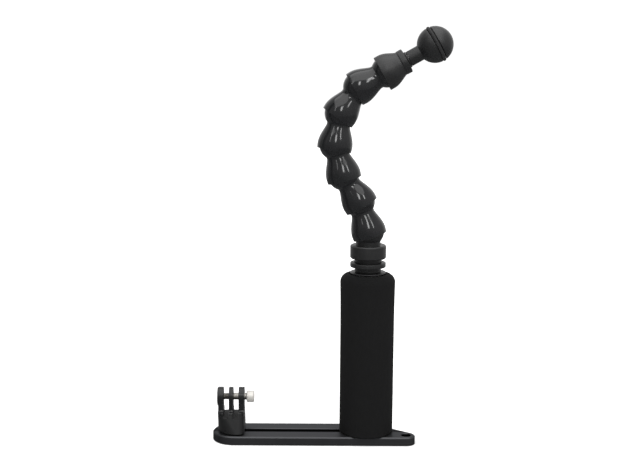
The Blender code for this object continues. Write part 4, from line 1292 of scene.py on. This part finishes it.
class CAMERATRAY_OT_make_hose_links(bpy.types.Operator):
    """Model one ball-and-socket link and lay a copy of it at each joint of the hose"""

    bl_idname = "camera_tray.make_hose_links"
    bl_label = "Hose links"

    def execute(self, context):
        sizes = context.scene.camera_tray_hose
        pitch = (SOCKETS[1] - SOCKETS[0]).length
        profile = bell_profile(sizes, sizes.skirt, sizes.rim, sizes.waist, sizes.bell)
        profile += ball_profile(sizes, pitch, sizes.waist)
        profile += socket_profile(sizes, sizes.rim, sizes.bore)
        pattern = turn("hose_link", profile, sizes.edge, closed=True)
        for number in range(1, HOSE_LINKS + 1):
            select_only(pattern)
            bpy.ops.object.duplicate(linked=False)
            link = bpy.context.object
            link.name = f"hose_link_{number}"
            link.data.name = link.name
            start = SOCKETS[number - 1]
            lay(link, start, lean(start, SOCKETS[number]))
            fit(link, f"hose_segment_{number}", gloss_plastic)
        bpy.data.objects.remove(pattern, do_unlink=True)
        return {"FINISHED"}


class CAMERATRAY_OT_make_end_socket(bpy.types.Operator):
    """Model the socket at the hose's end, with the flat flange that carries the ball"""

    bl_idname = "camera_tray.make_end_socket"
    bl_label = "End socket"

    def execute(self, context):
        sizes = context.scene.camera_tray_hose
        hole = context.scene.camera_tray_plate.slot_width / 2
        fasteners = context.scene.camera_tray_fasteners
        flange_start = sizes.end_bell - sizes.skirt_drop
        end = flange_start + sizes.flange_length
        wall = end - sizes.end_wall
        screw_room = fasteners.bolt_head / 2 - fasteners.edge
        skirt = sizes.end_skirt
        profile = bell_profile(sizes, skirt, skirt, sizes.end_waist, sizes.end_bell - sizes.lip)
        profile += disc(sizes.flange, flange_start, end, 2 * sizes.edge)[1:]
        profile += [(hole, end), (hole, wall), (screw_room, wall)]
        profile += socket_profile(sizes, skirt, screw_room)
        socket = turn("flanged_socket", profile, sizes.edge, closed=True)
        lay(socket, SOCKETS[-1], lean(SOCKETS[-1], ball_centre()))
        fit(socket, "hose_end_adapter", matt_plastic)
        return {"FINISHED"}


class CAMERATRAY_OT_make_tip_ball(bpy.types.Operator):
    """Model the ball on its stem, and the rubber ring in the ball's groove"""

    bl_idname = "camera_tray.make_tip_ball"
    bl_label = "Tip ball"

    def execute(self, context):
        sizes = context.scene.camera_tray_tip
        hose = context.scene.camera_tray_hose
        washer_low, washer_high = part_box("ball_stem_washer")
        centre = ball_centre()
        tilt = lean(SOCKETS[-1], centre)
        low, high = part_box("ball_mount")
        radius = (high.y - low.y) / 2
        socket_end = hose.end_bell - hose.skirt_drop + hose.flange_length
        washer_middle = ((washer_low + washer_high) / 2 - SOCKETS[-1]).length
        stem_start = 2 * washer_middle - socket_end - (centre - SOCKETS[-1]).length
        ring_radius = radius + sizes.ring_proud - sizes.ring_cord / 2
        floor = ring_radius - sizes.ring_cord / 2 - sizes.ring_play
        groove_low = sizes.groove_offset - sizes.groove_width / 2
        groove_high = sizes.groove_offset + sizes.groove_width / 2
        stem = sizes.stem / 2
        hole = sizes.stem_hole / 2
        hole_end = stem_start + sizes.hole_depth
        stem_angle = -math.acos(stem / radius)
        profile = [(0, hole_end), (hole, hole_end), (hole, stem_start), (stem, stem_start)]
        profile += arc((0, 0), radius, stem_angle, math.asin(groove_low / radius))
        profile += [(floor, groove_low), (floor, groove_high)]
        profile += arc((0, 0), radius, math.asin(groove_high / radius), QUARTER_TURN, 2 * ARC_STEPS)
        # The last point lies on the axis to the last digit, so that the turned ball closes there
        profile[-1] = (0, radius)
        ball = turn("stem_ball", profile, sizes.edge)
        lay(ball, centre, tilt)
        fit(ball, "ball_mount", matt_plastic)

        height = groove_low + sizes.ring_play + sizes.ring_cord / 2
        section = circle((ring_radius, height), sizes.ring_cord, ARC_STEPS)
        ring = turn("ball_o_ring", section, closed=True)
        lay(ring, centre, tilt)
        fit(ring, "ball_ring", ring_rubber)
        return {"FINISHED"}


class CAMERATRAY_OT_finish_hardware(bpy.types.Operator):
    """Give the pieces that are held inside, and keep their construction shape, their metal finishes"""

    bl_idname = "camera_tray.finish_hardware"
    bl_label = "Inner hardware"

    def execute(self, context):
        finishes = {
            "handle_core": core_aluminium,
            "mount_insert": insert_brass,
            "arm_stud": drawn_steel,
            "ball_screw": drawn_steel,
        }
        for node, finish in finishes.items():
            dress(frame["nodes"][node].data, finish)
        return {"FINISHED"}


class CAMERATRAY_OT_make_stage(bpy.types.Operator):
    """Set up the pale floor, the soft studio lights and the camera"""

    bl_idname = "camera_tray.make_stage"
    bl_label = "Stage"

    # Ranges of a direction's parts over which a wall of the room comes into view
    TABLE_LINE = (-0.30, -0.21)
    UPPER_WALLS = (-0.15, 0.45)
    RIGHT_WALL = (-0.7, 0.8)
    BACK_WALL = (0.3, 0.9)
    LEFT_WALL = (-0.5, -0.3)
    GAP_START = (-0.30, -0.22)
    GAP_END = (0.02, 0.10)

    # Place, width and power of the large soft box, and how far away the narrow ones stand
    TOP_PLACE = (0.0, -0.3, 1.9)
    TOP_WIDTH = 2.4
    TOP_POWER = 36.0
    STRIP_REACH = 1.5

    # Name, azimuth, elevation, width, height and power of each narrow one
    STRIPS = (
        ("middle_strip", math.radians(3), math.radians(31), 0.26, 0.60, 5.6),
        ("right_strip", math.radians(38), math.radians(34), 0.14, 0.60, 3.2),
        ("left_strip", math.radians(-38), math.radians(34), 0.08, 0.75, 1.2),
    )

    # Width of the camera's sensor in millimetres, and how far it sees in metres
    SENSOR_WIDTH = 36.0
    CAMERA_REACH = 50.0

    def floor(self, settings):
        """A floor just under the plate, with a painted glow and shadow, which isn't mirrored in the glossy
        pieces.
        """
        deselect()
        width = 2 * settings.floor_half
        bpy.ops.mesh.primitive_plane_add(size=width, location=(0, 0, -settings.floor_drop))
        floor = bpy.context.object
        floor.name = "studio_floor"
        bpy.ops.object.transform_apply(location=True, rotation=True, scale=True)
        floor.visible_glossy = False
        dress(floor.data, pale_floor)

    def room(self, settings, scene):
        """A white room to look at. Its walls light the object: dim below and in front, brighter behind."""
        world = bpy.data.worlds.new("studio_room")
        world.use_nodes = True
        scene.world = world
        room = Nodes(world.node_tree, "Background")
        room.feed("Color", (1.0, 1.0, 1.0, 1.0))
        right, back, up = room.parts(room.node("ShaderNodeTexCoord", {}, {}, "Generated"))
        above_table = room.spread(up, *self.TABLE_LINE)
        glow = settings.room_low
        glow = glow + room.spread(up, *self.UPPER_WALLS) * settings.room_high
        glow = glow + room.spread(right, *self.RIGHT_WALL) * above_table * settings.room_right
        glow = glow + room.spread(back, *self.BACK_WALL) * above_table * settings.room_back
        gap = room.spread(back, *self.GAP_START) * room.spread(back, *self.GAP_END, 1.0, 0.0)
        gap = gap * room.spread(right, *self.LEFT_WALL, 1.0, 0.0)
        glow = glow * (1.0 - gap * settings.room_gap)
        seen = room.node("ShaderNodeLightPath", {}, {}, "Is Camera Ray")
        room.feed("Strength", room.node("ShaderNodeMix", {}, {0: seen, 2: glow, 3: settings.backdrop}))

    def light(self, name, place, target, width, height, power):
        """A soft box that faces a target and isn't seen by the camera."""
        deselect()
        bpy.ops.object.light_add(type="AREA", location=place)
        lamp = bpy.context.object
        lamp.name = name
        lamp.rotation_euler = (Vector(target) - Vector(place)).to_track_quat("-Z", "Y").to_euler()
        lamp.data.shape = "RECTANGLE"
        lamp.data.size = width
        lamp.data.size_y = height
        lamp.data.energy = power
        lamp.visible_camera = False

    def camera(self, settings, scene):
        """The camera where the photograph was taken from."""
        bpy.ops.object.camera_add(location=settings.camera_place)
        camera = bpy.context.object
        camera.name = "studio_camera"
        tilt = Matrix.Rotation(QUARTER_TURN - settings.camera_pitch, 3, "X")
        camera.rotation_euler = (tilt @ Matrix.Rotation(settings.camera_roll, 3, "Z")).to_euler()
        camera.data.lens = settings.lens
        camera.data.sensor_width = self.SENSOR_WIDTH
        camera.data.clip_end = self.CAMERA_REACH
        scene.camera = camera

    def execute(self, context):
        scene = context.scene
        settings = scene.camera_tray_stage
        self.floor(settings)
        self.room(settings, scene)
        target = (0, 0, CAD_BOUNDS[1].z / 2)
        self.light("top_softbox", self.TOP_PLACE, target, self.TOP_WIDTH, self.TOP_WIDTH, self.TOP_POWER)
        for name, azimuth, elevation, width, height, power in self.STRIPS:
            direction = Vector((math.sin(azimuth), -math.cos(azimuth), math.tan(elevation)))
            place = Vector(target) + direction * self.STRIP_REACH
            self.light(name, place, target, width, height, power)
        self.camera(settings, scene)
        scene.view_settings.view_transform = "Standard"
        return {"FINISHED"}


OPERATORS = (
    CAMERATRAY_OT_make_plate,
    CAMERATRAY_OT_make_riser,
    CAMERATRAY_OT_make_thumb_screw,
    CAMERATRAY_OT_make_bolts,
    CAMERATRAY_OT_make_foam_grip,
    CAMERATRAY_OT_make_neck_rings,
    CAMERATRAY_OT_make_connector,
    CAMERATRAY_OT_make_hose_links,
    CAMERATRAY_OT_make_end_socket,
    CAMERATRAY_OT_make_tip_ball,
    CAMERATRAY_OT_finish_hardware,
    CAMERATRAY_OT_make_stage,
)


class CAMERATRAY_PT_pieces(bpy.types.Panel):
    """A button for each piece of the camera tray, and the sizes and colours that they use"""

    bl_idname = "CAMERATRAY_PT_pieces"
    bl_label = "Camera tray"
    bl_space_type = "VIEW_3D"
    bl_region_type = "UI"
    bl_category = "Camera tray"

    def draw(self, context):
        for operator in OPERATORS:
            self.layout.operator(operator.bl_idname)
        for group_name, group in SIZE_GROUPS.items():
            box = self.layout.box()
            box.label(text=group.__doc__)
            for name in group.__annotations__:
                box.prop(getattr(context.scene, group_name), name)


CLASSES = (*SIZE_GROUPS.values(), *OPERATORS, CAMERATRAY_PT_pieces)


def register():
    for item in CLASSES:
        bpy.utils.register_class(item)
    for name, group in SIZE_GROUPS.items():
        setattr(bpy.types.Scene, name, PointerProperty(type=group))


def unregister():
    for name in SIZE_GROUPS:
        delattr(bpy.types.Scene, name)
    for item in reversed(CLASSES):
        bpy.utils.unregister_class(item)


def main():
    register()
    for operator in OPERATORS:
        area, name = operator.bl_idname.split(".")
        getattr(getattr(bpy.ops, area), name)()


if __name__ == "__main__":
    main()
